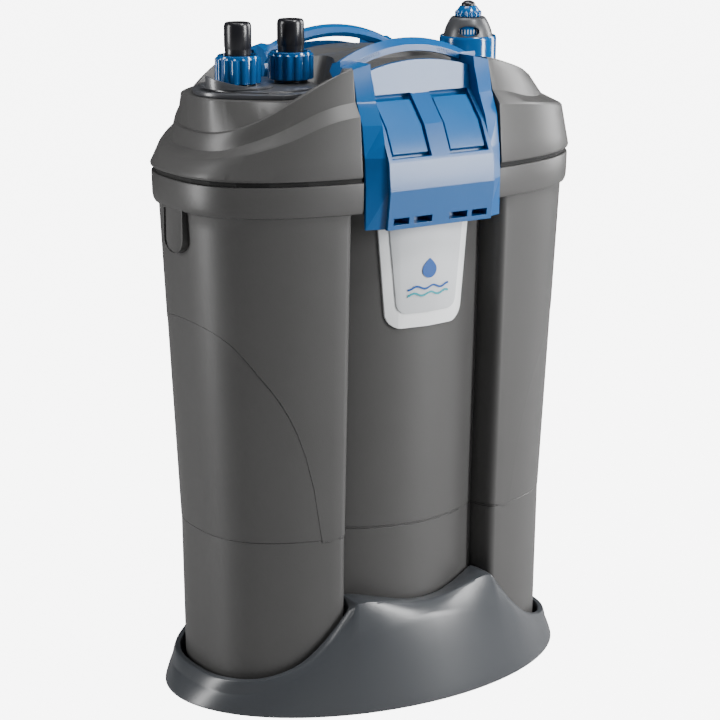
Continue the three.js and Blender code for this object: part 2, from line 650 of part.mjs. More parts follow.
const WINDOW_TURN = 0.99;         // the dial window looks towards the front left corner
function heaterCap() {
  const shell = turned([[16.2, 484.3], [19, 484.3], [18.6, 488], [17.6, 492], [15.6, 497], [13, 501],
    [11, 501], [11, 499.6], [13.6, 496], [15.4, 491.6], [16.2, 488]], HEATER_X, 0, 28);
  const oval = Array.from({ length: 20 }, (_, i) => {
    const a = (i / 20) * 2 * Math.PI;
    return [7.5 * Math.cos(a), 491.3 + 3.6 * Math.sin(a)];
  });
  const view = prismX(oval, -30, 0).rotateZ(WINDOW_TURN).translate(HEATER_X, 0, 0);
  return cut(toSolid(shell), view);
}

const scaleRing = () => turned([[12.4, 486.6], [14.6, 486.6], [14.6, 493], [13.6, 495], [12.4, 495]],
  HEATER_X, 0, 24);

function dialKnob() {
  const flutes = 12;
  const outline = (r, amp) => Array.from({ length: flutes * 2 }, (_, i) => {
    const a = (i / (flutes * 2)) * 2 * Math.PI;
    const radius = r - amp * Math.cos(a * flutes);
    return [HEATER_X + radius * Math.cos(a), radius * Math.sin(a)];
  });
  const rings = [[10, 0.4, 501.4], [10.3, 0.6, 503], [8.6, 0.6, 507], [6.2, 0.3, 509.2]]
    .map(([r, amp, z]) => outline(r, amp).map(([x, y]) => [x, y, z]));
  return cut(toSolid(loft(rings)).add(toSolid(rod(6, 490, 502, HEATER_X, 0, 20))),
    rod(3, 480, 507, HEATER_X, 0, 16));
}

const dialTip = () => turned([[0, 509.5], [5.4, 509.5], [5, 511], [3.4, 512.6], [1.6, 513.3], [0, 513.4]],
  HEATER_X, 0, 24);

// ---- head underside and pump --------------------------------------------------------------
const PLATE_Z = [396, 403.2];
const PUMP_X = 0;
const HEATER_TUBE_R = 14.5;
const RISER_R = 11;

function headPlate() {
  const solid = toSolid(loft([
    atZ(lobedOutline(0.966, WALL + 1.5), PLATE_Z[0]),
    atZ(lobedOutline(0.969, WALL + 1.5), PLATE_Z[1]),
  ]));
  return cut(solid, rod(14, 390, 410, PUMP_X, 0, 22), rod(HEATER_TUBE_R + 0.6, 390, 410, HEATER_X, 0),
    rod(7.5, 390, 410, HOSE_X[0], 0, 24), rod(7.5, 390, 410, HOSE_X[1], 0, 24));
}

function headSeal() {
  const ring = toSolid(loft([atZ(hullOutline(0.988), RIM_Z + GAP), atZ(hullOutline(0.988), HEAD_Z - GAP)]));
  return ring.subtract(toSolid(loft([atZ(hullOutline(0.988, 7), 399), atZ(hullOutline(0.988, 7), 405)])))
    .subtract(toSolid(boxSolid(-61, 61, -130, -88.7, 390, 410)))
    .subtract(toSolid(boxSolid(-61, 61, 88.7, 130, 390, 410)));
}

const motorCan = () => turned([[30.5, 403.5], [33, 403.5], [33, 450], [30, 453], [0, 453], [0, 450],
  [29, 450], [30.5, 448]], PUMP_X, 0, 24);
const statorCore = () => tube(30, 18, 406, 424, PUMP_X, 0);
const statorCoil = () => tube(27, 18, 424.4, 440, PUMP_X, 0);
const pumpCover = () => turned([[28.5, 395.7], [28.5, 376], [9, 376], [9, 373.5], [31, 373.5], [31, 395.7]],
  PUMP_X, 0, 24);
const rotorMagnet = () => tube(12, 2.4, 397, 438, PUMP_X, 0, 24);
const shaftPin = () => rod(2.1, 379, 447, PUMP_X, 0, 16);
const bush = (z0, z1) => tube(6, 2.4, z0, z1, PUMP_X, 0, 20);

function impeller() {
  const hub = toSolid(tube(11, 2.4, 382, 396.6, PUMP_X, 0, 24)).add(toSolid(tube(24, 2.4, 392, 394, PUMP_X, 0, 24)));
  let wheel = hub;
  const blades = 6;
  for (let i = 0; i < blades; i += 1) {
    const blade = boxSolid(9, 24, -1, 1, 383, 393).rotateZ((i / blades) * 2 * Math.PI);
    wheel = wheel.add(toSolid(blade.translate(PUMP_X, 0, 0)));
  }
  return wheel;
}

const heaterTube = () => turned([[12.9, 485], [11.6, 485], [11.6, 240], [0, 240], [0, 237.5], [9, 237.5],
  [12.9, 241.5]].reverse(), HEATER_X, 0, 28);
const heaterElement = () => tube(9.5, 6.5, 245, 380, HEATER_X, 0, 24);
const riserPipe = () => turned([[8, 30], [RISER_R, 30], [RISER_R, 393], [13, 393], [13, 395.7], [8, 395.7]],
  HOSE_X[0], 0, 28);

// ---- filter media -------------------------------------------------------------------------
const BASKET_Z = [14, 134, 250];
const BASKET_TOP = [131, 247, 366];
function basket(i) {
  const z0 = BASKET_Z[i];
  const z1 = BASKET_TOP[i];
  const fit = WALL + 2.5;
  const top = tankScale(z0 + 0.8 * (z1 - z0));
  const cup = loft([
    atZ(lobedOutline(tankScale(z0), fit), z0),
    atZ(lobedOutline(top, fit), z1),
    atZ(lobedOutline(top, fit + 2), z1),
    atZ(lobedOutline(tankScale(z0), fit + 2), z0 + 2.5),
  ]);
  return cut(toSolid(cup), rod(28, 0, 400, HEATER_X, 0), rod(13, 0, 400, HOSE_X[0], 0));
}

function mediaPad(i) {
  const z0 = BASKET_Z[i] + 3.5;
  const z1 = BASKET_TOP[i] - 6;
  const fit = WALL + 6.5;
  return cut(toSolid(loft([
    atZ(lobedOutline(tankScale(z0), fit), z0),
    atZ(lobedOutline(tankScale(z0 + 0.8 * (z1 - z0)), fit), z1),
  ])), rod(29.5, 0, 400, HEATER_X, 0), rod(14, 0, 400, HOSE_X[0], 0));
}

const prefilterFoam = () => tube(26, 15, 40, 360, HEATER_X, 0);

// ---- labels and small parts ---------------------------------------------------------------
function lobeSkin(outer, inner) {
  const ring = (inset, z) => atZ(lobedOutline(tankScale(z), inset), z);
  return toSolid(loft([ring(-outer, 270), ring(-outer, 368)]))
    .subtract(toSolid(loft([ring(-inner, 260), ring(-inner, 376)])));
}

function badgeOutline(half, z0, z1, corner) {
  const points = [[half, z1], [-half, z1]];
  const low = half - 6;
  for (let i = 0; i <= 6; i += 1) {
    const a = Math.PI + (i / 6) * (Math.PI / 2);
    points.push([-low + corner + corner * Math.cos(a), z0 + corner + corner * Math.sin(a)]);
  }
  for (let i = 0; i <= 6; i += 1) {
    const a = 1.5 * Math.PI + (i / 6) * (Math.PI / 2);
    points.push([low - corner + corner * Math.cos(a), z0 + corner + corner * Math.sin(a)]);
  }
  return points;
}

const frontPrism = (xz) => {
  const basis = new THREE.Matrix4().set(1, 0, 0, 0, 0, 0, -1, -60, 0, 1, 0, 0, 0, 0, 0, 1);
  return extrude(xz, 60).applyMatrix4(basis);
};
const badge = (half, z0, z1, corner, outer, inner) =>
  lobeSkin(outer, inner).intersect(toSolid(frontPrism(badgeOutline(half, z0, z1, corner))));

const footPad = (x, y) => rod(9, 0, FOOT_FLOOR_Z - 3 - GAP, x, y, 20);
const headScrew = (x, y) => turned([[0, 389], [4, 389], [4, 395.7], [0, 395.7]], x, y, 12);
const cableGland = () => tube(6.8, 3, 68, 92, 0, 0, 20).rotateX(-Math.PI / 2).translate(112, 0, 424);

// ---- assembly -----------------------------------------------------------------------------
place('tank', tank(), BODY_GREY);
place('foot_skirt', foot(), FOOT_GREY);
[[-95, -30], [95, -30], [95, 30], [-95, 30]].forEach(([x, y], i) =>
  place(`foot_pad_${i + 1}`, footPad(x, y), SEAL_BLACK));
place('badge_plate', badge(40, 287, 365, 13, 2.2, 0.4), LABEL_WHITE);
place('badge_insert', badge(32.5, 298, 364.5, 9, 3.1, 2.5), LABEL_GREY);
['lower', 'middle', 'upper'].forEach((level, i) => {
  place(`media_basket_${level}`, basket(i), BASKET_GREY);
  place(`filter_pad_${level}`, mediaPad(i), i === 2 ? FOAM_ORANGE : FOAM_BLUE);
});
place('prefilter_foam', prefilterFoam(), FOAM_ORANGE);

place('head_cover', headCover(), BODY_GREY);
place('head_plate', headPlate(), DARK_GREY);
place('head_seal', headSeal(), SEAL_BLACK);
place('motor_can', motorCan(), DARK_GREY);
place('stator_core', statorCore(), STEEL);
place('stator_coil', statorCoil(), COPPER);
place('pump_cover', pumpCover(), DARK_GREY);
place('impeller_shaft', shaftPin(), CERAMIC);
place('shaft_bush_lower', bush(377, 381.5), SEAL_BLACK);
place('shaft_bush_upper', bush(440, 449.5), SEAL_BLACK);
place('riser_pipe', riserPipe(), DARK_GREY);
place('heater_collar', heaterCollar(), GLOSS_BLUE);
place('heater_cap', heaterCap(), DARK_GREY);
place('heater_scale', scaleRing(), LATCH_BLUE);
place('heater_tube', heaterTube(), STEEL);
place('heater_element', heaterElement(), CERAMIC);
place('cable_gland', cableGland(), SEAL_BLACK);
place('latch_pin_front', pinAlongX(2.4, 65.5, 1), STEEL);
place('latch_pin_back', pinAlongX(2.4, 65.5, -1), STEEL);
[[-40, -62], [40, -62], [40, 62], [-40, 62]].forEach(([x, y], i) =>
  place(`plate_screw_${i + 1}`, headScrew(x, y), STEEL));

place('connector_block', connectorBlock(), DARK_GREY);
['inlet', 'outlet'].forEach((side, i) => {
  const x = HOSE_X[i];
  place(`hose_tail_${side}`, hoseTail(x), GLOSS_BLACK);
  place(`seal_ring_${side}`, sealRing(x), SEAL_BLACK);
  place(`union_nut_${side}`, unionNut(x), GLOSS_BLUE);
  place(`valve_ball_${side}`, valveBall(x), CERAMIC);
});
place('shutoff_lever', shutoffLever(), DARK_GREY);

place('impeller', impeller(), LATCH_BLUE);
place('rotor_magnet', rotorMagnet(), DARK_GREY);
place('dial_knob', dialKnob(), GLOSS_BLUE);
place('dial_tip', dialTip(), GLOSS_BLACK);

const frontLatch = latchFrame();
const frontPanel = latchPanel();
place('latch_frame_front', frontLatch, LATCH_BLUE);
place('latch_panel_front', frontPanel, LATCH_BLUE);
place('latch_frame_back', turnedBack(frontLatch), LATCH_BLUE);
place('latch_panel_back', turnedBack(frontPanel), LATCH_BLUE);

export default product;
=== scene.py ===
"""Canister filter: the finished visual model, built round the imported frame.

Lengths in the shape tables are millimetres. +Z is up, -Y is the front, the heater is towards +X.
"""
import json
import math

import bmesh
import bpy
from mathutils import Matrix, Vector


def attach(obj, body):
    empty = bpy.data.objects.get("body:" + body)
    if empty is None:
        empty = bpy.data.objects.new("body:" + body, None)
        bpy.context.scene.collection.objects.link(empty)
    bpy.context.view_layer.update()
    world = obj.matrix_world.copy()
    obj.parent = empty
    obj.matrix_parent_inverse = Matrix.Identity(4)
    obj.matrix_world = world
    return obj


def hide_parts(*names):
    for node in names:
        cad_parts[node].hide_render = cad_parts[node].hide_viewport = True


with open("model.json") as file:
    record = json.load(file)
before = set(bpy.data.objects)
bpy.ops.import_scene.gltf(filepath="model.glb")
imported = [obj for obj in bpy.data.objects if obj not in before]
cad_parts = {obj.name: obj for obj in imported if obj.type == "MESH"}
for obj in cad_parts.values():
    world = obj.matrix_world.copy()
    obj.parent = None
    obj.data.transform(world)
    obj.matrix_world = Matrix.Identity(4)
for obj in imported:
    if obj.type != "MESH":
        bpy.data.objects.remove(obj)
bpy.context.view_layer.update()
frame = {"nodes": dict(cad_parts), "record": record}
NODES = frame["nodes"]
MM = 0.001

# ---- driving sizes, the same as the solids' -----------------------------------------------
HULL_A = 167.2           # half length of the collar outline
HULL_B = 93.5            # half depth of the collar outline
HULL_N = 2.66            # how square the collar outline is
WALL = 4.0
GROOVE_X = 60.0          # grooves between the lobes
LOBE_EDGE_X = 71.0       # where an end lobe turns into a groove
LOBE_R = 100.0           # radius of the middle lobe
LOBE_FRONT = 79.0        # how far forward the middle lobe stands at the relief line
RELIEF_SCALE = 0.893     # scale of the tank's outline at the relief line
TANK_FOOT_Z = 7.3
RELIEF_Z = 133.0         # relief line round the tank
COLLAR_Z = 377.5
RIM_Z = 400.0
HEAD_Z = 403.5
LAND_Z = 457.0           # floor of the connector recess
FOOT_A = 168.0
FOOT_B = 113.0
FOOT_Z = 1.0
HOSE_X = (-109.3, -64.8)
HEATER_X = 94.5
LATCH_PIVOT = (-56.0, 466.0)


# ---- camera and light ---------------------------------------------------------------------
CAMERA_AT = Vector((-0.9259, -1.4158, 0.6843))
CAMERA_TARGET = Vector((-0.00063, 0.0, 0.24169))
CAMERA_ROLL = math.radians(0.19)


def add_camera():
    data = bpy.data.cameras.new("camera")
    data.lens = 113.1
    data.sensor_width = 36.0
    data.shift_x = -0.0043
    data.shift_y = 0.0008
    data.clip_start = 0.05
    camera = bpy.data.objects.new("camera", data)
    bpy.context.scene.collection.objects.link(camera)
    forward = (CAMERA_TARGET - CAMERA_AT).normalized()
    right = forward.cross(Vector((0, 0, 1))).normalized()
    up = right.cross(forward)
    turn = Matrix.Rotation(-CAMERA_ROLL, 3, forward)
    right, up = turn @ right, turn @ up
    axes = Matrix((right, up, -forward)).transposed().to_4x4()
    camera.matrix_world = Matrix.Translation(CAMERA_AT) @ axes
    bpy.context.scene.camera = camera


def add_softbox(name, at, target, size, watts, color=(1.0, 1.0, 1.0)):
    data = bpy.data.lights.new(name, "AREA")
    data.shape = "RECTANGLE"
    data.size, data.size_y = size
    data.energy = watts
    data.color = color
    light = bpy.data.objects.new(name, data)
    light.location = at
    light.rotation_euler = (Vector(target) - Vector(at)).to_track_quat("-Z", "Y").to_euler()
    bpy.context.scene.collection.objects.link(light)


def add_studio():
    """A bright pale room, two tall side softboxes and one overhead."""
    world = bpy.data.worlds.new("studio")
    world.use_nodes = True
    nodes, links = world.node_tree.nodes, world.node_tree.links
    backdrop = nodes["Background"]
    backdrop.inputs["Color"].default_value = (1.0, 1.0, 1.0, 1.0)
    backdrop.inputs["Strength"].default_value = 9.0
    fill = nodes.new("ShaderNodeBackground")
    fill.inputs["Color"].default_value = (0.9, 0.95, 1.0, 1.0)
    fill.inputs["Strength"].default_value = 0.03
    path = nodes.new("ShaderNodeLightPath")
    mix = nodes.new("ShaderNodeMixShader")
    links.new(path.outputs["Is Camera Ray"], mix.inputs["Fac"])
    links.new(fill.outputs["Background"], mix.inputs[1])
    links.new(backdrop.outputs["Background"], mix.inputs[2])
    links.new(mix.outputs["Shader"], nodes["World Output"].inputs["Surface"])
    bpy.context.scene.world = world
    middle = (0.0, 0.0, 0.25)
    add_softbox("softbox_left", (-1.45, 0.5, 0.42), middle, (0.3, 1.5), 27)
    add_softbox("softbox_right", (0.86, -1.3, 0.72), middle, (0.3, 1.0), 38)
    add_softbox("softbox_rim", (1.5, -0.1, 0.75), middle, (0.4, 1.1), 22)
    add_softbox("softbox_top", (-0.1, 0.1, 1.7), (0, 0, 0.4), (0.7, 0.7), 14)
    add_softbox("softbox_brow", (0.3, -0.85, 1.75), (0, 0, 0.4), (0.4, 0.3), 16)


def add_floor():
    half = 12.0
    mesh = bpy.data.meshes.new("floor")
    corners = [(-half, -half, 0), (half, -half, 0), (half, half, 0), (-half, half, 0)]
    mesh.from_pydata(corners, [], [(0, 1, 2, 3)])
    floor = bpy.data.objects.new("floor", mesh)
    bpy.context.scene.collection.objects.link(floor)
    material = bpy.data.materials.new("floor_paper")
    material.use_nodes = True
    nodes, links = material.node_tree.nodes, material.node_tree.links
    shader = nodes["Principled BSDF"]
    shader.inputs["Base Color"].default_value = (0.35, 0.35, 0.35, 1.0)
    shader.inputs["Roughness"].default_value = 0.6
    glow = nodes.new("ShaderNodeEmission")
    glow.inputs["Strength"].default_value = 12.0
    seen = nodes.new("ShaderNodeMath")
    seen.operation = "MULTIPLY"
    seen.inputs[1].default_value = 0.6
    mix = nodes.new("ShaderNodeMixShader")
    links.new(nodes.new("ShaderNodeLightPath").outputs["Is Camera Ray"], seen.inputs[0])
    links.new(seen.outputs[0], mix.inputs["Fac"])
    links.new(shader.outputs["BSDF"], mix.inputs[1])
    links.new(glow.outputs["Emission"], mix.inputs[2])
    links.new(mix.outputs["Shader"], nodes["Material Output"].inputs["Surface"])
    mesh.materials.append(material)


# ---- shader groups ------------------------------------------------------------------------
def new_group(name, inputs, outputs):
    group = bpy.data.node_groups.new(name, "ShaderNodeTree")
    for label, value in inputs.items():
        kind = "NodeSocketColor" if isinstance(value, tuple) else "NodeSocketFloat"
        socket = group.interface.new_socket(label, in_out="INPUT", socket_type=kind)
        socket.default_value = value
    for label, kind in outputs.items():
        group.interface.new_socket(label, in_out="OUTPUT", socket_type=kind)
    return group, group.nodes.new("NodeGroupInput"), group.nodes.new("NodeGroupOutput")


def math_node(group, operation, first, second):
    node = group.nodes.new("ShaderNodeMath")
    node.operation = operation
    for socket, value in zip(node.inputs, (first, second)):
        if isinstance(value, (int, float)):
            socket.default_value = value
        else:
            group.links.new(value, socket)
    return node.outputs[0]


def grain_group():
    """Fine moulded grain: a mottled colour, a varying roughness and a bumped normal."""
    group, given, out = new_group(
        "moulded_grain",
        {"Color": (0.5, 0.5, 0.5, 1.0), "Roughness": 0.4, "Grain Scale": 1400.0,
         "Grain Depth": 0.1, "Mottle": 0.08},
        {"Color": "NodeSocketColor", "Roughness": "NodeSocketFloat", "Normal": "NodeSocketVector"})
    nodes, links = group.nodes, group.links
    place = nodes.new("ShaderNodeTexCoord").outputs["Object"]
    fine = nodes.new("ShaderNodeTexNoise")
    fine.inputs["Detail"].default_value = 2.0
    links.new(place, fine.inputs["Vector"])
    links.new(given.outputs["Grain Scale"], fine.inputs["Scale"])
    broad = nodes.new("ShaderNodeTexNoise")
    broad.inputs["Scale"].default_value = 22.0
    broad.inputs["Detail"].default_value = 4.0
    links.new(place, broad.inputs["Vector"])
    both = math_node(group, "ADD", fine.outputs["Fac"], broad.outputs["Fac"])
    swing = math_node(group, "MULTIPLY", math_node(group, "SUBTRACT", both, 1.0),
                      given.outputs["Mottle"])
    tint = nodes.new("ShaderNodeMix")
    tint.data_type = "RGBA"
    tint.blend_type = "MULTIPLY"
    tint.inputs["Factor"].default_value = 1.0
    gain = nodes.new("ShaderNodeCombineColor")
    level = math_node(group, "ADD", swing, 1.0)
    for channel in gain.inputs:
        links.new(level, channel)
    links.new(given.outputs["Color"], tint.inputs["A"])
    links.new(gain.outputs["Color"], tint.inputs["B"])
    links.new(tint.outputs["Result"], out.inputs["Color"])
    rough = math_node(group, "MULTIPLY", given.outputs["Roughness"], level)
    links.new(rough, out.inputs["Roughness"])
    bump = nodes.new("ShaderNodeBump")
    bump.inputs["Distance"].default_value = 0.0002
    links.new(given.outputs["Grain Depth"], bump.inputs["Strength"])
    links.new(fine.outputs["Fac"], bump.inputs["Height"])
    links.new(bump.outputs["Normal"], out.inputs["Normal"])
    return group


def foam_group():
    """Open-cell foam: pores painted near-black as painted shade inside the cells, between paler
    struts.
    """
    group, given, out = new_group(
        "open_cells", {"Color": (0.5, 0.5, 0.5, 1.0), "Cell Scale": 700.0},
        {"Color": "NodeSocketColor", "Normal": "NodeSocketVector"})
    nodes, links = group.nodes, group.links
    cells = nodes.new("ShaderNodeTexVoronoi")
    cells.feature = "DISTANCE_TO_EDGE"
    links.new(nodes.new("ShaderNodeTexCoord").outputs["Object"], cells.inputs["Vector"])
    links.new(given.outputs["Cell Scale"], cells.inputs["Scale"])
    pore = math_node(group, "SUBTRACT", 1.0, cells.outputs["Distance"])
    depth = math_node(group, "POWER", pore, 3.0)
    # painted shade: the colour fades to near-black towards each cell's middle, standing in for the
    # shade down in the pores
    tint = nodes.new("ShaderNodeMix")
    tint.data_type = "RGBA"
    tint.inputs["A"].default_value = (0.01, 0.01, 0.01, 1.0)
    links.new(depth, tint.inputs["Factor"])
    links.new(given.outputs["Color"], tint.inputs["B"])
    links.new(tint.outputs["Result"], out.inputs["Color"])
    bump = nodes.new("ShaderNodeBump")
    bump.inputs["Distance"].default_value = 0.001
    links.new(depth, bump.inputs["Height"])
    links.new(bump.outputs["Normal"], out.inputs["Normal"])
    return group


GRAIN = grain_group()
CELLS = foam_group()


def grained(name, color, roughness, grain=1400.0, depth=0.1, mottle=0.08, metallic=0.0, coat=0.0):
    """A moulded, ground or fired surface with its own grain."""
    material = bpy.data.materials.new(name)
    material.use_nodes = True
    nodes, links = material.node_tree.nodes, material.node_tree.links
    shader = nodes["Principled BSDF"]
    shader.inputs["Metallic"].default_value = metallic
    shader.inputs["Coat Weight"].default_value = coat
    shader.inputs["Coat Roughness"].default_value = 0.08
    surface = nodes.new("ShaderNodeGroup")
    surface.node_tree = GRAIN
    surface.inputs["Color"].default_value = (*color, 1.0)
    surface.inputs["Roughness"].default_value = roughness
    surface.inputs["Grain Scale"].default_value = grain
    surface.inputs["Grain Depth"].default_value = depth
    surface.inputs["Mottle"].default_value = mottle
    links.new(surface.outputs["Color"], shader.inputs["Base Color"])
    links.new(surface.outputs["Roughness"], shader.inputs["Roughness"])
    links.new(surface.outputs["Normal"], shader.inputs["Normal"])
    return material


def foam(name, color):
    material = bpy.data.materials.new(name)
    material.use_nodes = True
    nodes, links = material.node_tree.nodes, material.node_tree.links
    shader = nodes["Principled BSDF"]
    shader.inputs["Roughness"].default_value = 0.95
    surface = nodes.new("ShaderNodeGroup")
    surface.node_tree = CELLS
    surface.inputs["Color"].default_value = (*color, 1.0)
    links.new(surface.outputs["Color"], shader.inputs["Base Color"])
    links.new(surface.outputs["Normal"], shader.inputs["Normal"])
    return material


FINISH = {
    "body_grey": grained("body_grey", (0.064, 0.063, 0.062), 0.4, 1300.0, 0.22, 0.12),
    "foot_grey": grained("foot_grey", (0.05, 0.054, 0.06), 0.3, 1900.0, 0.06, 0.06),
    "rubber_black": grained("rubber_black", (0.005, 0.005, 0.005), 0.8, 900.0, 0.2, 0.1),
    "badge_white": grained("badge_white", (0.92, 0.94, 0.95), 0.25, 900.0, 0.02, 0.03, coat=0.4),
    "badge_grey": grained("badge_grey", (0.6, 0.62, 0.64), 0.35, 900.0, 0.02, 0.04),
    "basket_grey": grained("basket_grey", (0.15, 0.16, 0.17), 0.45, 900.0, 0.1, 0.08),
    "foam_blue": foam("foam_blue", (0.03, 0.15, 0.33)),
    "foam_orange": foam("foam_orange", (0.5, 0.16, 0.03)),
    "dark_grey": grained("dark_grey", (0.05, 0.052, 0.056), 0.34, 1500.0, 0.08, 0.08),
    "gloss_dark": grained("gloss_dark", (0.06, 0.062, 0.068), 0.3, 1500.0, 0.03, 0.05, coat=0.3),
    "gloss_black": grained("gloss_black", (0.012, 0.012, 0.015), 0.28, 1500.0, 0.02, 0.05,
                           coat=0.1),
    "steel": grained("steel", (0.6, 0.6, 0.6), 0.22, 500.0, 0.05, 0.1, metallic=1.0),
    "copper": grained("copper", (0.6, 0.25, 0.1), 0.3, 700.0, 0.5, 0.25, metallic=1.0),
    "ceramic": grained("ceramic", (0.75, 0.73, 0.68), 0.3, 800.0, 0.05, 0.05, coat=0.2),
    "gloss_blue": grained("gloss_blue", (0.003, 0.078, 0.25), 0.16, 1500.0, 0.03, 0.06, coat=0.5),
    "scale_blue": grained("scale_blue", (0.01, 0.13, 0.4), 0.25, 1500.0, 0.03, 0.06, coat=0.2),
    "latch_blue": grained("latch_blue", (0.003, 0.085, 0.27), 0.3, 1700.0, 0.1, 0.08),
    "panel_blue": grained("panel_blue", (0.003, 0.095, 0.29), 0.32, 1700.0, 0.12, 0.08),
}
INK_BLUE = grained("ink_blue", (0.002, 0.07, 0.3), 0.4, 900.0, 0.01, 0.03)
INK_TEAL = grained("ink_teal", (0.01, 0.3, 0.36), 0.4, 900.0, 0.01, 0.03)
SCALE_WHITE = grained("scale_white", (0.8, 0.82, 0.84), 0.35, 900.0, 0.01, 0.03)


# ---- mesh helpers -------------------------------------------------------------------------
def lerp(a, b, t):
    return a + (b - a) * t


def curve(points, x):
    """Straight pieces through (x, y) pairs, flat outside them."""
    if x <= points[0][0]:
        return points[0][1]
    for (x0, y0), (x1, y1) in zip(points, points[1:]):
        if x <= x1:
            return lerp(y0, y1, (x - x0) / (x1 - x0))
    return points[-1][1]


def smooth_curve(points, x):
    """A smooth curve through the same kind of table."""
    if x <= points[0][0]:
        return points[0][1]
    if x >= points[-1][0]:
        return points[-1][1]
    i = next(k for k, point in enumerate(points) if point[0] >= x)
    (x0, y0), (x1, y1) = points[i - 1], points[i]
    here = (y1 - y0) / (x1 - x0)
    before, after = here, here
    if i > 1:
        xa, ya = points[i - 2]
        before = ((y0 - ya) / (x0 - xa) + here) / 2
    if i + 1 < len(points):
        xb, yb = points[i + 1]
        after = ((yb - y1) / (xb - x1) + here) / 2
    w = x1 - x0
    t = (x - x0) / w
    return ((2 * t**3 - 3 * t**2 + 1) * y0 + (t**3 - 2 * t**2 + t) * w * before
            + (3 * t**2 - 2 * t**3) * y1 + (t**3 - t**2) * w * after)


def mesh_object(name, points, faces):
    """A mesh from millimetre points, doubles merged and faces turned outwards."""
    mesh = bpy.data.meshes.new(name)
    mesh.from_pydata([Vector(p) * MM for p in points], [], faces)
    piece = bpy.data.objects.new(name, mesh)
    bpy.context.scene.collection.objects.link(piece)
    tidy_mesh(mesh, 1e-6)
    return piece


def tidy_mesh(mesh, merge):
    work = bmesh.new()
    work.from_mesh(mesh)
    bmesh.ops.remove_doubles(work, verts=work.verts, dist=merge)
    bmesh.ops.recalc_face_normals(work, faces=work.faces)
    work.to_mesh(mesh)
    work.free()


def loft(name, rings, closed=True):
    """A skin through rings of points; closed adds a face over the first and the last ring."""
    n = len(rings[0])
    points = [p for ring in rings for p in ring]
    faces = []
    for r in range(len(rings) - 1):
        for i in range(n):
            j = (i + 1) % n
            faces.append((r * n + i, r * n + j, (r + 1) * n + j, (r + 1) * n + i))
    if closed:
        faces.append(tuple(reversed(range(n))))
        faces.append(tuple(range((len(rings) - 1) * n, len(rings) * n)))
    return mesh_object(name, points, faces)


def turned(name, profile, x=0.0, y=0.0, segments=96):
    """A turned piece from (radius, height) pairs that run round its section."""
    rings = []
    for radius, z in profile:
        angles = [2 * math.pi * i / segments for i in range(segments)]
        rings.append([(x + radius * math.cos(a), y + radius * math.sin(a), z) for a in angles])
    hollow = profile[0][0] > 0 and profile[-1][0] > 0
    if hollow:
        rings.append(rings[0])
    return loft(name, rings, closed=False)


def prism(name, outline, span, axis="Z"):
    """An outline in the plane across an axis, swept from one value of that axis to another."""
    place = {"X": lambda u, v, w: (w, u, v), "Z": lambda u, v, w: (u, v, w)}[axis]
    return loft(name, [[place(u, v, w) for u, v in outline] for w in span])


def apply_modifiers(piece):
    """The piece's evaluated mesh takes its place, and its modifiers go."""
    graph = bpy.context.evaluated_depsgraph_get()
    mesh = bpy.data.meshes.new_from_object(piece.evaluated_get(graph))
    piece.modifiers.clear()
    piece.data = mesh
    return piece


def cut(piece, *tools):
    for tool in tools:
        modifier = piece.modifiers.new("cut", "BOOLEAN")
        modifier.operation = "DIFFERENCE"
        modifier.solver = "EXACT"
        modifier.object = tool
    apply_modifiers(piece)
    for tool in tools:
        bpy.data.objects.remove(tool)
    return piece


def soften(piece, width=0.6, angle=30.0, segments=2):
    """Rounds the edges that are sharper than the angle, and shades the rest smooth."""
    modifier = piece.modifiers.new("round_edges", "BEVEL")
    modifier.width = width * MM
    modifier.segments = segments
    modifier.limit_method = "ANGLE"
    modifier.angle_limit = math.radians(angle)
    modifier.miter_outer = "MITER_ARC"
    modifier.harden_normals = False
    apply_modifiers(piece)
    return shade(piece, angle)


def shade(piece, angle=30.0):
    piece.data.shade_smooth()
    piece.data.set_sharp_from_angle(angle=math.radians(angle))
    return piece


def finished(piece, slot, body, *nodes, material=None):
    """Gives a piece its finish, its body and the solids that it stands for."""
    piece.data.materials.clear()
    piece.data.materials.append(material or FINISH[slot])
    piece.parent = None
    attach(piece, body)
    if nodes:
        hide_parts(*nodes)
    return piece


def refined(node, slot, body, width=0.6, angle=24.0, flat=1.0, segments=2):
    """A merged copy of a solid with its flat faces joined up and its edges rounded."""
    mesh = NODES[node].data.copy()
    piece = bpy.data.objects.new(f"{node}_skin", mesh)
    bpy.context.scene.collection.objects.link(piece)
    work = bmesh.new()
    work.from_mesh(mesh)
    bmesh.ops.remove_doubles(work, verts=work.verts, dist=1e-6)
    bmesh.ops.dissolve_limit(work, angle_limit=math.radians(flat), verts=work.verts,
                             edges=work.edges)
    work.to_mesh(mesh)
    work.free()
    soften(piece, width, angle, segments)
    return finished(piece, slot, body, node)


# ---- outlines -----------------------------------------------------------------------------
MID_STEPS = [0.999 * i / 26 for i in range(26)] + [0.999]
WALL_STEPS = [i / 10 for i in range(1, 11)]
END_STEPS = [math.sin(i / 34 * math.pi / 2) ** 0.9 for i in range(1, 35)]


def quarter_stations(scale, inset, edge_x=LOBE_EDGE_X):
    """x of each station of one quarter, from the middle lobe to the end."""
    start = GROOVE_X - max(inset, 0)
    step = GROOVE_X + 0.6 + 0.5 * max(inset, 0)
    edge = edge_x + 0.8 * inset
    half = HULL_A * scale - inset
    xs = [t * start for t in MID_STEPS] + [start, step]
    xs += [lerp(step, edge, t) for t in WALL_STEPS]
    xs += [lerp(edge, half, math.sin(t * math.pi / 2)) for t in END_STEPS]
    return start, step, edge, xs


def hull_y(x, scale, inset):
    half = HULL_A * scale - inset
    depth = HULL_B * scale - inset
    u = min(abs(x) / half, 1.0)
    return depth * (1 - u**HULL_N) ** (1 / HULL_N)


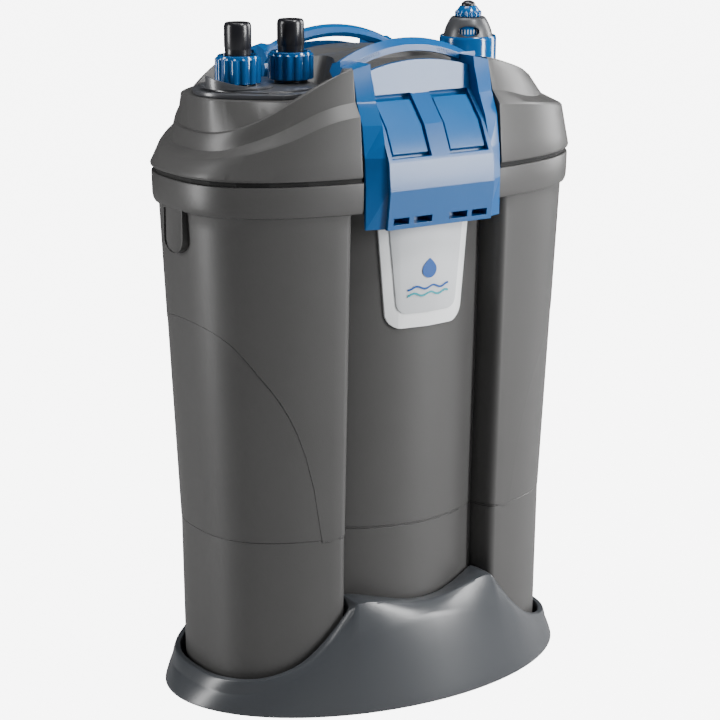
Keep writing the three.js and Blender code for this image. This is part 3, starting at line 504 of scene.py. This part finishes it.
def lobed_y(x, scale, inset, start, step, edge):
    front = LOBE_FRONT + HULL_B * (scale - RELIEF_SCALE) - inset
    if x <= step:
        return front - (LOBE_R - math.sqrt(LOBE_R**2 - min(x, start) ** 2))
    low = front - (LOBE_R - math.sqrt(LOBE_R**2 - start**2))
    if x < edge:
        t = (x - step) / (edge - step)
        return lerp(low, hull_y(edge, scale, inset), 1 - (1 - t) ** 2.6)
    return hull_y(x, scale, inset)


def lobed_quarter(scale, inset=0.0):
    start, step, edge, xs = quarter_stations(scale, inset)
    return [(x, lobed_y(x, scale, inset, start, step, edge)) for x in xs]


def hull_quarter(scale, inset=0.0):
    xs = quarter_stations(scale, inset)[3]
    return [(x, hull_y(x, scale, inset)) for x in xs]


def full_ring(quarter):
    """One quarter mirrored into a whole ring, counter-clockwise."""
    first = quarter[::-1]
    ring = list(first)
    ring += [(-p[0], *p[1:]) for p in quarter[1:]]
    ring += [(-p[0], -p[1], *p[2:]) for p in first[1:]]
    ring += [(p[0], -p[1], *p[2:]) for p in quarter[1:-1]]
    return ring


def ring_at(quarter, z):
    return full_ring([(x, y, z(x, y) if callable(z) else z) for x, y in quarter])


TANK_SCALE = [(TANK_FOOT_Z, 0.882), (RELIEF_Z, RELIEF_SCALE), (368.0, 0.966), (COLLAR_Z, 0.969)]


def tank_scale(z):
    return curve(TANK_SCALE, z)


# ---- tank ---------------------------------------------------------------------------------
RELIEF_ARC = [(75.0, 134.5), (88.7, 139.0), (91.0, 160.0), (95.3, 183.0), (105.0, 216.0),
              (116.6, 241.0), (128.0, 259.0), (144.0, 284.0), (157.0, 297.5)]
RELIEF_STEP = 0.55       # how far a relief stands proud


HEIGHT_QUARTER = lobed_quarter(0.93)     # heights are read at these stations
quarters_made = {}


def cached_quarter(scale, inset):
    key = (round(scale, 6), inset)
    if key not in quarters_made:
        quarters_made[key] = lobed_quarter(scale, inset)
    return quarters_made[key]


def tank_row(height, inset):
    """A ring of the tank's skin whose height may differ at every station."""
    quarter = []
    for i, (x_mid, _) in enumerate(HEIGHT_QUARTER):
        z = height(x_mid)
        quarter.append((*cached_quarter(tank_scale(z), inset)[i], z))
    return full_ring(quarter)


def arc(x):
    """Height of the curved relief line at x."""
    return smooth_curve(RELIEF_ARC, x)


def tank_rings():
    low = RELIEF_STEP
    rings = [
        ring_at(lobed_quarter(tank_scale(TANK_FOOT_Z), 5), TANK_FOOT_Z),
        ring_at(lobed_quarter(tank_scale(TANK_FOOT_Z), 2), TANK_FOOT_Z + 1.5),
        ring_at(lobed_quarter(tank_scale(TANK_FOOT_Z), low), TANK_FOOT_Z + 5),
    ]
    for z in (40.0, 75.0, 105.0, 128.0, RELIEF_Z - 0.8):
        rings.append(tank_row(lambda x, z=z: z, low))
    rings.append(tank_row(lambda x: RELIEF_Z - 0.45, low + 0.35))
    rings.append(tank_row(lambda x: RELIEF_Z, 0.3))
    for share in (0.15, 0.4, 0.7, 0.9):
        rings.append(tank_row(lambda x, s=share: lerp(RELIEF_Z + 0.5, arc(x) - 1.2, s), 0.3))
    rings.append(tank_row(lambda x: arc(x) - 0.55, 0.3))
    rings.append(tank_row(lambda x: arc(x) - 0.35, 0.55))
    rings.append(tank_row(arc, 0.0))
    for share in (0.06, 0.2, 0.45, 0.7, 0.9, 1.0):
        rings.append(tank_row(lambda x, s=share: lerp(arc(x) + 0.6, 366.0, s), 0.0))
    return rings


def tank_shell():
    """The three-lobed tank with its relief lines, its collar and its inside."""
    rings = tank_rings()
    rings += [
        ring_at(lobed_quarter(tank_scale(COLLAR_Z - 2)), COLLAR_Z - 2),
        ring_at(lobed_quarter(tank_scale(COLLAR_Z), -0.6), COLLAR_Z - 0.3),
        ring_at(hull_quarter(0.982), COLLAR_Z),
        ring_at(hull_quarter(0.9885), COLLAR_Z + 0.5),
        ring_at(hull_quarter(0.994), COLLAR_Z + 2.4),
        ring_at(hull_quarter(0.9975), COLLAR_Z + 5.5),
        ring_at(hull_quarter(0.9985), COLLAR_Z + 10),
        ring_at(hull_quarter(1.0), RIM_Z - 1.2),
        ring_at(hull_quarter(0.9975), RIM_Z - 0.35),
        ring_at(hull_quarter(0.993), RIM_Z),
        ring_at(lobed_quarter(0.969, WALL), RIM_Z),
        ring_at(lobed_quarter(tank_scale(RELIEF_Z), WALL), RELIEF_Z),
        ring_at(lobed_quarter(tank_scale(TANK_FOOT_Z), WALL + 1), TANK_FOOT_Z + WALL),
    ]
    shell = loft("tank_shell", rings)
    notch = 60.0
    front = prism("notch_front", [(-130, 376.5), (-89, 376.5), (-89, 405), (-130, 405)],
                  (-notch, notch), "X")
    back = prism("notch_back", [(89, 376.5), (130, 376.5), (130, 405), (89, 405)],
                 (-notch, notch), "X")
    cut(shell, front, back)
    shade(shell, 28)
    return finished(shell, "body_grey", "canister", "tank")


TAB_HALF = 15.0


def tab_outline(grow):
    """Outline of an end tab in y and z: square at the top, round at the bottom."""
    half = TAB_HALF + grow
    points = [(-half, 379.0)]
    for i in range(25):
        a = math.pi + math.pi * i / 24
        points.append((half * math.cos(a), 357 + (12 + grow) * math.sin(a)))
    points.append((half, 379.0))
    return points


def end_tab(side):
    """A rimmed U-shaped tab under the collar at one end."""
    name = "end_tab_left" if side < 0 else "end_tab_right"
    spans = sorted((side * 157.5, side * 165.4))
    tab = prism(name, tab_outline(0), spans, "X")
    dish = prism("tab_dish", [(y, z - 2) for y, z in tab_outline(-2.4)],
                 sorted((side * 163.9, side * 170)), "X")
    cut(tab, dish)
    soften(tab, 0.7, 40, 3)
    return finished(tab, "body_grey", "canister")


# ---- foot ---------------------------------------------------------------------------------
FOOT_RIM = [(0, 74), (15, 75), (30, 78), (45, 81), (58, 82), (64, 80), (71, 72), (79, 62),
            (90, 50), (104, 38), (118, 31), (130, 27), (142, 25), (156, 23)]
FOOT_RIDGE = [(0, 66), (30, 63.5), (50, 60.5), (73, 52), (90, 43), (104, 34), (118, 25),
              (130, 19), (146, 15), (157, 14.5)]
RIDGE_SHARE = 0.62       # the ridge stands this far in from the ground's outline
# Below the ridge and above it: share of the way inwards, and share of the way up.
FLARE = [(0, 0), (0.008, 0.03), (0.1, 0.15), (0.24, 0.31), (0.42, 0.5), (0.6, 0.68), (0.76, 0.82),
         (0.9, 0.935), (0.965, 0.98)]
CROWN = [(0.02, 0.025), (0.1, 0.13), (0.25, 0.32), (0.45, 0.56), (0.65, 0.76), (0.85, 0.91),
         (0.97, 0.985)]


def foot_rim_z(x):
    return smooth_curve(FOOT_RIM, abs(x))


def foot_quarter(grow=0.0):
    """Ellipse on the ground with the tank's stations."""
    xs = quarter_stations(0.883, 0)[3]
    half = HULL_A * 0.883
    points = []
    for x in xs:
        u = min(x / half, 1.0)
        points.append(((FOOT_A + grow) * u, (FOOT_B + grow) * math.sqrt(1 - u * u)))
    return points


def ridge_z(x):
    return smooth_curve(FOOT_RIDGE, abs(x))


def foot_skirt():
    """The flared foot: under the tub, up inside the hollow skirt and down its outside."""
    inner = lobed_quarter(tank_scale(40), -3)
    outer = lobed_quarter(tank_scale(40), -6)
    shoulder = hull_quarter(tank_scale(40), -7)
    ground = foot_quarter()
    edge = foot_quarter(-3)
    ridge = [(lerp(x, sx, RIDGE_SHARE), lerp(y, sy, RIDGE_SHARE))
             for (x, y), (sx, sy) in zip(ground, shoulder)]

    def skirt_ring(low, high, inward, height):
        ring = []
        for (x, y), (tx, ty), (rx, _), (wall_x, _) in zip(low, high, ridge, inner):
            ring.append((lerp(x, tx, inward), lerp(y, ty, inward),
                         height(ridge_z(rx), foot_rim_z(wall_x))))
        return full_ring(ring)

    rings = [
        ring_at(outer, 4.0),
        ring_at(outer, lambda x, y: foot_rim_z(x) - 9),
        skirt_ring(shoulder, shoulder, 0, lambda low, rim: rim - 9),
        skirt_ring(ridge, shoulder, 0.5, lambda low, rim: low - 9),
        ring_at(edge, FOOT_Z),
    ]
    rings += [skirt_ring(ground, ridge, inward, lambda low, rim, up=up: lerp(FOOT_Z, low, up))
              for inward, up in FLARE]
    rings += [skirt_ring(ridge, shoulder, inward, lambda low, rim, up=up: lerp(low, rim, up))
              for inward, up in CROWN]
    rings += [
        skirt_ring(shoulder, inner, 0.1, lambda low, rim: rim),
        skirt_ring(shoulder, inner, 0.9, lambda low, rim: rim),
        ring_at(inner, lambda x, y: foot_rim_z(x) - 0.5),
        ring_at(inner, 7.0),
    ]
    skirt = loft("foot_flare", rings)
    shade(skirt, 50)
    return finished(skirt, "foot_grey", "canister", "foot_skirt")


# ---- head cover ---------------------------------------------------------------------------
CREASE_C = [(-167, 415), (-158, 417), (-146, 421), (-132, 426), (-120, 430), (-107, 435),
            (-92, 441.5), (-78, 446), (-64, 448), (60, 448), (110, 443), (154, 436), (167, 434)]
CREASE_B = [(-160, 419), (-146, 423), (-136, 428), (-114, 438), (-87, 451), (-65, 456),
            (57, 457), (80, 453), (104, 447), (135, 444), (150, 443)]
CREASE_A = [(-150, 432), (-141, 436), (-123, 446), (-103, 459), (-78, 473), (-66, 478),
            (62, 478), (87, 471.5), (104, 466), (117, 461), (130, 457.5)]


CROWN_Z = 482.5          # top of the lid's gently domed middle


def smooth_step(x, low, high):
    t = max(0.0, min(1.0, (x - low) / (high - low)))
    return t * t * (3 - 2 * t)


def scale_b(x):
    return lerp(0.91, 0.865, smooth_step(x, -150, 130))


def scale_a(x):
    return lerp(0.89, 0.8, smooth_step(x, -150, 130))


def nose_half(x):
    return math.sqrt(max(79 * (x + 151), 0.0))


def crease_ring(scale_at, table, lower=0.0, limit=None):
    """A ring whose scale changes along x, with its height from a crease table."""
    ring = []
    for x, y in full_ring(hull_quarter(1)):
        s = scale_at(x)
        px, py = x * s, y * s
        if limit:
            py = math.copysign(min(abs(py), limit(px)), py)
        ring.append((px, py, smooth_curve(table, px) - lower))
    return ring


def between_rings(low, high, shares):
    return [[tuple(lerp(a, b, s) for a, b in zip(p, q)) for p, q in zip(low, high)]
            for s in shares]


def head_skin():
    ledge = crease_ring(lambda x: scale_a(x) - 0.012, CREASE_A, -0.3)
    rim = [(x, y, max(z, LAND_Z)) for x, y, z in
           crease_ring(lambda x: scale_a(x) - 0.014, CREASE_A, -1.2, nose_half)]
    shoulder = crease_ring(scale_a, CREASE_A)
    crease_b = crease_ring(scale_b, CREASE_B)
    low_c = crease_ring(lambda x: 0.968, CREASE_C, 1.5)
    skirt = ring_at(hull_quarter(1.005), HEAD_Z + 2)
    rings = [
        ring_at(hull_quarter(0.998), HEAD_Z),
        ring_at(hull_quarter(1.003), HEAD_Z + 0.5),
        skirt,
        *between_rings(skirt, low_c, (0.33, 0.66)),
        low_c,
        crease_ring(lambda x: 0.958, CREASE_C),
        crease_b,
        *between_rings(crease_b, shoulder, (0.33, 0.66)),
        shoulder,
        ledge,
        rim,
    ]
    for share in (0.2, 0.45, 0.72, 0.9):
        rings.append([(x * (1 - share), y * (1 - share), lerp(z, CROWN_Z, share ** 0.6))
                      for x, y, z in rim])
    return loft("lid", rings)


RECESS_LOW = [(-38, 0), (-38.5, 6), (-40, 12), (-46, 25), (-54, 39), (-61, 50), (-66, 58),
              (-73, 63), (-82, 64.5)]
RECESS_HIGH = [(-33, 0), (-33.7, 7), (-36, 14), (-42, 28), (-50, 43), (-57, 55), (-62, 66),
               (-66, 74), (-70, 77.5)]


def resampled(points, count):
    """The same line with evenly shared, smoothly curved points."""
    params = [(i, p[0]) for i, p in enumerate(points)], [(i, p[1]) for i, p in enumerate(points)]
    last = len(points) - 1
    return [(smooth_curve(params[0], last * i / count), smooth_curve(params[1], last * i / count))
            for i in range(count + 1)]


def recess_cutter(grow=0.0):
    low, high = resampled(RECESS_LOW, 40), resampled(RECESS_HIGH, 40)

    def ring(z):
        k = (z - LAND_Z) / 21
        half = []
        for (lx, ly), (hx, hy) in zip(low, high):
            y = lerp(ly, hy, k)
            half.append((lerp(lx, hx, k) + grow, y + grow * min(1.0, y / 20)))
        far = half[-1][1]
        near = [(x, -y) for x, y in half[:0:-1]]
        return [(x, y, z) for x, y in [(-230, -far), *near, *half, (-230, far)]]

    return loft("recess", [ring(LAND_Z - grow), ring(500)])


POCKET = [(-130, 398), (-89, 398), (-89, 418), (-62.6, 450.5), (-52, 451.5), (-43, 458),
          (-40.6, 467), (-36, 477), (-33, 479), (-33, 520), (-130, 520)]
POCKET_HALF = 61.0


def mirror_y(points):
    return [(-y, z) for y, z in reversed(points)]


def circle(r, n, x=0.0, y=0.0):
    return [(x + r * math.cos(2 * math.pi * i / n), y + r * math.sin(2 * math.pi * i / n))
            for i in range(n)]


def head_cavity():
    """The hollow inside the lid, clear of the recess and the pockets."""
    depth = 4.0
    rings = [
        ring_at(hull_quarter(0.895), HEAD_Z - 1),
        crease_ring(lambda x: 0.895, CREASE_C, 6),
        crease_ring(lambda x: scale_b(x) - 0.045, CREASE_B, 3.5),
        [(x, y, min(z, 452) if x < -60 else z)
         for x, y, z in crease_ring(lambda x: scale_a(x) - 0.045, CREASE_A, 6)],
    ]
    cavity = loft("cavity", rings)
    grown = [(y + depth, z - depth) for y, z in POCKET]
    half = POCKET_HALF + 8
    return cut(cavity, recess_cutter(3.2), prism("grown_front", grown, (-half, half), "X"),
               prism("grown_back", mirror_y(grown), (-half, half), "X"))


def head_cover():
    lid = head_skin()
    pins = []
    for side in (1, -1):
        round_hole = circle(2.7, 24, side * LATCH_PIVOT[0], LATCH_PIVOT[1])
        pins.append(prism("pin_hole", round_hole, (-66, 66), "X"))
    gland = turned("gland_hole", [(0, 60), (7.3, 60), (7.3, 110), (0, 110)], 0, 0, 48)
    gland.data.transform(Matrix.Translation((112 * MM, 0, 424 * MM)) @ Matrix.Rotation(
        -math.pi / 2, 4, "X"))
    heater = prism("heater_hole", circle(22.2, 96, HEATER_X), (430, 500))
    plug = prism("plug_slot", circle(15.3, 64, HOSE_X[0]), (410, 470))
    plug_far = prism("plug_slot_far", circle(15.3, 64, HOSE_X[1]), (410, 470))
    plug_mid = prism("plug_slot_mid", [(HOSE_X[0], -15.3), (HOSE_X[1], -15.3), (HOSE_X[1], 15.3),
                                       (HOSE_X[0], 15.3)], (410, 470))
    cut(lid, recess_cutter(), prism("pocket_front", POCKET, (-POCKET_HALF, POCKET_HALF), "X"),
        prism("pocket_back", mirror_y(POCKET), (-POCKET_HALF, POCKET_HALF), "X"))
    cut(lid, head_cavity())
    cut(lid, heater, gland, *pins)
    cut(lid, plug, plug_far, plug_mid)
    soften(lid, 0.9, 33, 3)
    shade(lid, 20)
    return finished(lid, "body_grey", "head", "head_cover")


# ---- repeated ribs ------------------------------------------------------------------------
def geometry_tree(name, inputs):
    tree = bpy.data.node_groups.new(name, "GeometryNodeTree")
    tree.interface.new_socket("Geometry", in_out="INPUT", socket_type="NodeSocketGeometry")
    kinds = {int: "NodeSocketInt", float: "NodeSocketFloat", tuple: "NodeSocketVector",
             bpy.types.Material: "NodeSocketMaterial"}
    for label, kind in inputs.items():
        tree.interface.new_socket(label, in_out="INPUT", socket_type=kinds[kind])
    tree.interface.new_socket("Geometry", in_out="OUTPUT", socket_type="NodeSocketGeometry")
    return tree, tree.nodes.new("NodeGroupInput"), tree.nodes.new("NodeGroupOutput")


def rib_ring_tree():
    """Round ribs with a chamfered top, standing in a ring."""
    tree, given, out = geometry_tree("rib_ring", {
        "Count": int, "Ring Radius": float, "Rib Radius": float, "Rib Height": float,
        "Chamfer": float, "Base": tuple, "Finish": bpy.types.Material})
    nodes, links = tree.nodes, tree.links
    ring = nodes.new("GeometryNodeMeshCircle")
    links.new(given.outputs["Count"], ring.inputs["Vertices"])
    links.new(given.outputs["Ring Radius"], ring.inputs["Radius"])
    shaft = nodes.new("GeometryNodeMeshCone")
    shaft.inputs["Vertices"].default_value = 18
    for socket in ("Radius Top", "Radius Bottom"):
        links.new(given.outputs["Rib Radius"], shaft.inputs[socket])
    links.new(given.outputs["Rib Height"], shaft.inputs["Depth"])
    tip = nodes.new("GeometryNodeMeshCone")
    tip.inputs["Vertices"].default_value = 18
    small = nodes.new("ShaderNodeMath")
    small.operation = "SUBTRACT"
    links.new(given.outputs["Rib Radius"], small.inputs[0])
    links.new(given.outputs["Chamfer"], small.inputs[1])
    links.new(small.outputs[0], tip.inputs["Radius Top"])
    links.new(given.outputs["Rib Radius"], tip.inputs["Radius Bottom"])
    links.new(given.outputs["Chamfer"], tip.inputs["Depth"])
    lift = nodes.new("ShaderNodeCombineXYZ")
    links.new(given.outputs["Rib Height"], lift.inputs["Z"])
    raise_tip = nodes.new("GeometryNodeTransform")
    links.new(tip.outputs["Mesh"], raise_tip.inputs["Geometry"])
    links.new(lift.outputs["Vector"], raise_tip.inputs["Translation"])
    rib = nodes.new("GeometryNodeJoinGeometry")
    links.new(raise_tip.outputs["Geometry"], rib.inputs["Geometry"])
    links.new(shaft.outputs["Mesh"], rib.inputs["Geometry"])
    weld = nodes.new("GeometryNodeMergeByDistance")
    weld.inputs["Distance"].default_value = 1e-6
    links.new(rib.outputs["Geometry"], weld.inputs["Geometry"])
    place = nodes.new("GeometryNodeInstanceOnPoints")
    links.new(ring.outputs["Mesh"], place.inputs["Points"])
    links.new(weld.outputs["Geometry"], place.inputs["Instance"])
    move = nodes.new("GeometryNodeTransform")
    links.new(place.outputs["Instances"], move.inputs["Geometry"])
    links.new(given.outputs["Base"], move.inputs["Translation"])
    finish_tree(tree, move.outputs["Geometry"], given, out)
    return tree


def finish_tree(tree, geometry, given, out):
    realize = tree.nodes.new("GeometryNodeRealizeInstances")
    tree.links.new(geometry, realize.inputs["Geometry"])
    paint = tree.nodes.new("GeometryNodeSetMaterial")
    tree.links.new(realize.outputs["Geometry"], paint.inputs["Geometry"])
    tree.links.new(given.outputs["Finish"], paint.inputs["Material"])
    tree.links.new(paint.outputs["Geometry"], out.inputs["Geometry"])


def rib_row_tree():
    """Small blocks in a fan: each is set back from one centre at equal angles."""
    tree, given, out = geometry_tree("block_fan", {
        "Count": int, "Radius": float, "Start": float, "Sweep": float, "Block": tuple,
        "Tilt": tuple, "Centre": tuple, "Finish": bpy.types.Material})
    nodes, links = tree.nodes, tree.links
    arc = nodes.new("GeometryNodeCurveArc")
    links.new(given.outputs["Count"], arc.inputs["Resolution"])
    links.new(given.outputs["Radius"], arc.inputs["Radius"])
    links.new(given.outputs["Start"], arc.inputs["Start Angle"])
    links.new(given.outputs["Sweep"], arc.inputs["Sweep Angle"])
    block = nodes.new("GeometryNodeMeshCube")
    links.new(given.outputs["Block"], block.inputs["Size"])
    facing = nodes.new("FunctionNodeAlignEulerToVector")
    facing.axis = "X"
    links.new(nodes.new("GeometryNodeInputPosition").outputs["Position"], facing.inputs["Vector"])
    place = nodes.new("GeometryNodeInstanceOnPoints")
    links.new(arc.outputs["Curve"], place.inputs["Points"])
    links.new(block.outputs["Mesh"], place.inputs["Instance"])
    links.new(facing.outputs["Rotation"], place.inputs["Rotation"])
    move = nodes.new("GeometryNodeTransform")
    links.new(place.outputs["Instances"], move.inputs["Geometry"])
    links.new(given.outputs["Centre"], move.inputs["Translation"])
    links.new(given.outputs["Tilt"], move.inputs["Rotation"])
    finish_tree(tree, move.outputs["Geometry"], given, out)
    return tree


RIB_RING = rib_ring_tree()
BLOCK_FAN = rib_row_tree()


def grown_by_tree(name, tree, values):
    """A plain mesh from a geometry tree with the given inputs."""
    piece = bpy.data.objects.new(name, bpy.data.meshes.new(name))
    bpy.context.scene.collection.objects.link(piece)
    modifier = piece.modifiers.new("ribs", "NODES")
    modifier.node_group = tree
    for item in tree.interface.items_tree:
        if item.in_out == "INPUT" and item.name in values:
            modifier[item.identifier] = values[item.name]
    return apply_modifiers(piece)


# ---- hose connector -----------------------------------------------------------------------
def union_nut(side, x):
    """A turned nut with a bored middle, and round grip ribs standing round it."""
    body = turned(f"nut_core_{side}", [
        (12.9, 464.5), (14.6, 464.5), (15.4, 465.2), (15.4, 482.6), (14.9, 484.4), (14.3, 484.8),
        (12.9, 484.8), (12.2, 484.2), (11.7, 483.0), (11.7, 475.9), (12.9, 475.6)], x)
    shade(body, 35)
    finished(body, "gloss_blue", f"nut_{side}", f"union_nut_{side}")
    ribs = grown_by_tree(f"nut_grip_{side}", RIB_RING, {
        "Count": 14, "Ring Radius": 13.9 * MM, "Rib Radius": 2.95 * MM, "Rib Height": 17.2 * MM,
        "Chamfer": 1.1 * MM, "Base": (x * MM, 0, 465.0 * MM), "Finish": FINISH["gloss_blue"]})
    shade(ribs, 35)
    finished(ribs, "gloss_blue", f"nut_{side}")


def hose_tail(side, x):
    tail = turned(f"hose_spigot_{side}", [
        (7.5, 472.4), (12.1, 472.4), (12.1, 475.2), (9.5, 475.2), (9.5, 488.8), (9.6, 489.6),
        (10.0, 490.6), (10.0, 504.6), (9.8, 506.2), (9.3, 507.4), (8.7, 508.0), (7.9, 508.0),
        (7.5, 507.5)], x)
    shade(tail, 35)
    finished(tail, "gloss_black", "head", f"hose_tail_{side}")


CAM_R = 27.5
CAM_THICK = 2.2


def cam_wall():
    """The lever's curved thumb wall, tallest at its tip and running down to nothing."""
    x0 = HOSE_X[0]
    rings = []
    steps = 40
    for i in range(steps + 1):
        t = i / steps
        a = math.radians(lerp(180, 292, t))
        top = 462.8 + 8.8 * (1 - t) ** 1.25
        ring = []
        for r, z in ((CAM_R, 462.3), (CAM_R - 0.5, top), (CAM_R - CAM_THICK, top - 0.2),
                     (CAM_R - CAM_THICK - 1.0, 462.3)):
            ring.append((x0 + r * math.cos(a), r * math.sin(a), z))
        rings.append(ring)
    wall = loft("lever_wall", rings)
    soften(wall, 0.35, 40, 2)
    return finished(wall, "gloss_dark", "lever")


def lever():
    """The shut-off lever: a flat ring under the nut that carries the thumb wall."""
    x0 = HOSE_X[0]
    ring = turned("lever_ring", [
        (12.95, 462.3), (CAM_R, 462.3), (CAM_R, 463.4), (CAM_R - 0.5, 463.9), (13.6, 463.9),
        (12.95, 463.4)], x0)
    mask = prism("lever_sector", [(-60, -60), (-60, 60), (-200, 60), (-200, 12), (x0, 13.0),
                                  (x0 + 13.5, 0), (x0 + 20, -60)], (460, 466))
    cut(ring, mask)
    soften(ring, 0.2, 40, 2)
    return finished(ring, "gloss_dark", "lever", "shutoff_lever")


# ---- heater -------------------------------------------------------------------------------
def heater():
    x = HEATER_X
    collar = turned("heater_sleeve", [
        (17.2, 442), (21.8, 442), (21.8, 484.8), (21.6, 486.2), (21.0, 487), (20.2, 487.0),
        (19.8, 486.4), (19.5, 484), (17.2, 484)], x, 0, 128)
    finished(shade(collar, 35), "gloss_blue", "head", "heater_collar")
    cap = turned("heater_dome", [
        (16.2, 484.3), (19.0, 484.3), (18.9, 486.2), (18.5, 488.6), (17.8, 491.3), (16.8, 494.0),
        (15.4, 496.9), (14.1, 499.2), (13.2, 500.5), (12.4, 501), (11, 501), (11, 499.6),
        (13.6, 496), (15.4, 491.6), (16.2, 488)], x, 0, 128)
    oval = [(8.2 * math.cos(a), 491.2 + 3.9 * math.sin(a))
            for a in (2 * math.pi * i / 40 for i in range(40))]
    window = prism("dial_window", oval, (-30, 0), "X")
    window.data.transform(Matrix.Translation((x * MM, 0, 0)) @ Matrix.Rotation(0.99, 4, "Z"))
    cut(cap, window)
    soften(cap, 0.35, 40, 2)
    finished(cap, "dark_grey", "head", "heater_cap")
    ring = turned("scale_drum", [(12.4, 486.6), (14.6, 486.6), (14.6, 493.2), (13.7, 495),
                                 (12.4, 495)], x)
    finished(shade(ring, 35), "scale_blue", "head", "heater_scale")
    ticks = grown_by_tree("scale_ticks", BLOCK_FAN, {
        "Count": 40, "Radius": 14.6 * MM, "Start": 0.0, "Sweep": math.radians(351),
        "Block": (0.5 * MM, 0.7 * MM, 3.6 * MM), "Tilt": (0, 0, 0),
        "Centre": (x * MM, 0, 490.6 * MM), "Finish": SCALE_WHITE})
    finished(shade(ticks, 30), "badge_white", "head", material=SCALE_WHITE)


def dial():
    x = HEATER_X
    core = turned("dial_core", [
        (0, 490), (5.9, 490), (5.9, 501.4), (9.4, 501.4), (9.9, 502), (9.9, 503.4), (9.0, 505.4),
        (7.6, 507.6), (6.2, 509.2), (0, 509.2)], x)
    finished(shade(core, 35), "gloss_blue", "dial", "dial_knob")
    ribs = grown_by_tree("dial_grip", RIB_RING, {
        "Count": 16, "Ring Radius": 8.9 * MM, "Rib Radius": 1.45 * MM, "Rib Height": 3.2 * MM,
        "Chamfer": 1.2 * MM, "Base": (x * MM, 0, 501.5 * MM), "Finish": FINISH["gloss_blue"]})
    finished(shade(ribs, 35), "gloss_blue", "dial")
    tip = turned("dial_point", [(0, 509.4), (5.5, 509.4), (5.4, 510.6), (4.6, 511.8), (3.2, 512.7),
                                (1.6, 513.25), (0, 513.4)], x)
    finished(shade(tip, 50), "gloss_black", "dial", "dial_tip")


# ---- badge --------------------------------------------------------------------------------
BADGE_FACE = 3.25        # how far the badge's printed face stands off the lobe


def on_badge(x, z, lift=0.0):
    front = LOBE_FRONT + HULL_B * (tank_scale(z) - RELIEF_SCALE) + BADGE_FACE + lift
    return (x, -(front - (LOBE_R - math.sqrt(LOBE_R**2 - x * x))), z)


def ribbon(name, centre_line, half, material):
    """A thin printed stroke that follows the badge's curve."""
    rings = []
    for x, z in centre_line:
        rings.append([on_badge(x, z - half, -0.3), on_badge(x, z - half), on_badge(x, z + half),
                      on_badge(x, z + half, -0.3)])
    piece = loft(name, rings)
    return finished(shade(piece, 40), "badge_grey", "canister", material=material)


def emblem():
    """A plain droplet over two wave lines."""
    drop = []
    for i in range(48):
        a = 2 * math.pi * i / 48
        pinch = 1.0 if math.sin(a) < 0 else (1 - 0.62 * math.sin(a) ** 2)
        reach = 8.5 if math.sin(a) > 0 else 6.2
        drop.append((6.2 * math.cos(a) * pinch, 330 + reach * math.sin(a)))
    rings = [[on_badge(x, z, lift) for x, z in drop] for lift in (-0.3, 0.0)]
    finished(shade(loft("emblem_drop", rings), 40), "badge_grey", "canister", material=INK_BLUE)
    for k, (z, material) in enumerate(((317.0, INK_BLUE), (312.0, INK_TEAL))):
        line = [(x, z + 1.1 * math.sin(x * 0.45 + k))
                for x in (-18 + 36 * i / 60 for i in range(61))]
        ribbon(f"emblem_wave_{k + 1}", line, 0.75, material)


# ---- latches ------------------------------------------------------------------------------
ARCH_R = 117.2


def arch_ribs(side):
    """Fine ribs on the front of a carrying arch, near both of its ends."""
    body = "latch_front" if side < 0 else "latch_back"
    for end in (-1, 1):
        first = math.asin(end * 26 / ARCH_R)
        last = math.asin(end * 43 / ARCH_R)
        start = math.pi / 2 - max(first, last)
        ribs = grown_by_tree(f"arch_ribs_{body}_{'right' if end > 0 else 'left'}", BLOCK_FAN, {
            "Count": 12, "Radius": (ARCH_R - 0.6) * MM, "Start": start, "Sweep": abs(last - first),
            "Block": (2.6 * MM, 0.7 * MM, 0.9 * MM), "Tilt": (math.pi / 2, 0, 0),
            "Centre": (0, side * 58.4 * MM, (489.8 - ARCH_R) * MM), "Finish": FINISH["latch_blue"]})
        finished(shade(ribs, 30), "latch_blue", body)


def latch(side):
    name = "front" if side < 0 else "back"
    refined(f"latch_frame_{name}", "latch_blue", f"latch_{name}", 0.5, 11)
    refined(f"latch_panel_{name}", "panel_blue", f"latch_{name}", 0.4, 20)
    arch_ribs(side)


# ---- solids that keep their own shape -----------------------------------------------------
PLAIN_SLOTS = {part["node"]: part["material_slot"] for part in frame["record"]["subparts"]}


def finish_solids():
    """Every solid gets its slot's finish, whether or not a finer piece stands for it."""
    for node, solid in NODES.items():
        solid.data.materials.clear()
        solid.data.materials.append(FINISH[PLAIN_SLOTS[node]])


add_camera()
add_studio()
add_floor()
finish_solids()
tank_shell()
for end_side in (-1, 1):
    end_tab(end_side)
foot_skirt()
head_cover()
refined("badge_plate", "badge_white", "canister", 0.3, 30)
refined("badge_insert", "badge_grey", "canister", 0.15, 30)
emblem()
refined("connector_block", "gloss_dark", "head", 0.4, 30)
lever()
cam_wall()
for hose_side, hose_x in zip(("inlet", "outlet"), HOSE_X):
    union_nut(hose_side, hose_x)
    hose_tail(hose_side, hose_x)
heater()
dial()
for latch_side in (-1, 1):
    latch(latch_side)
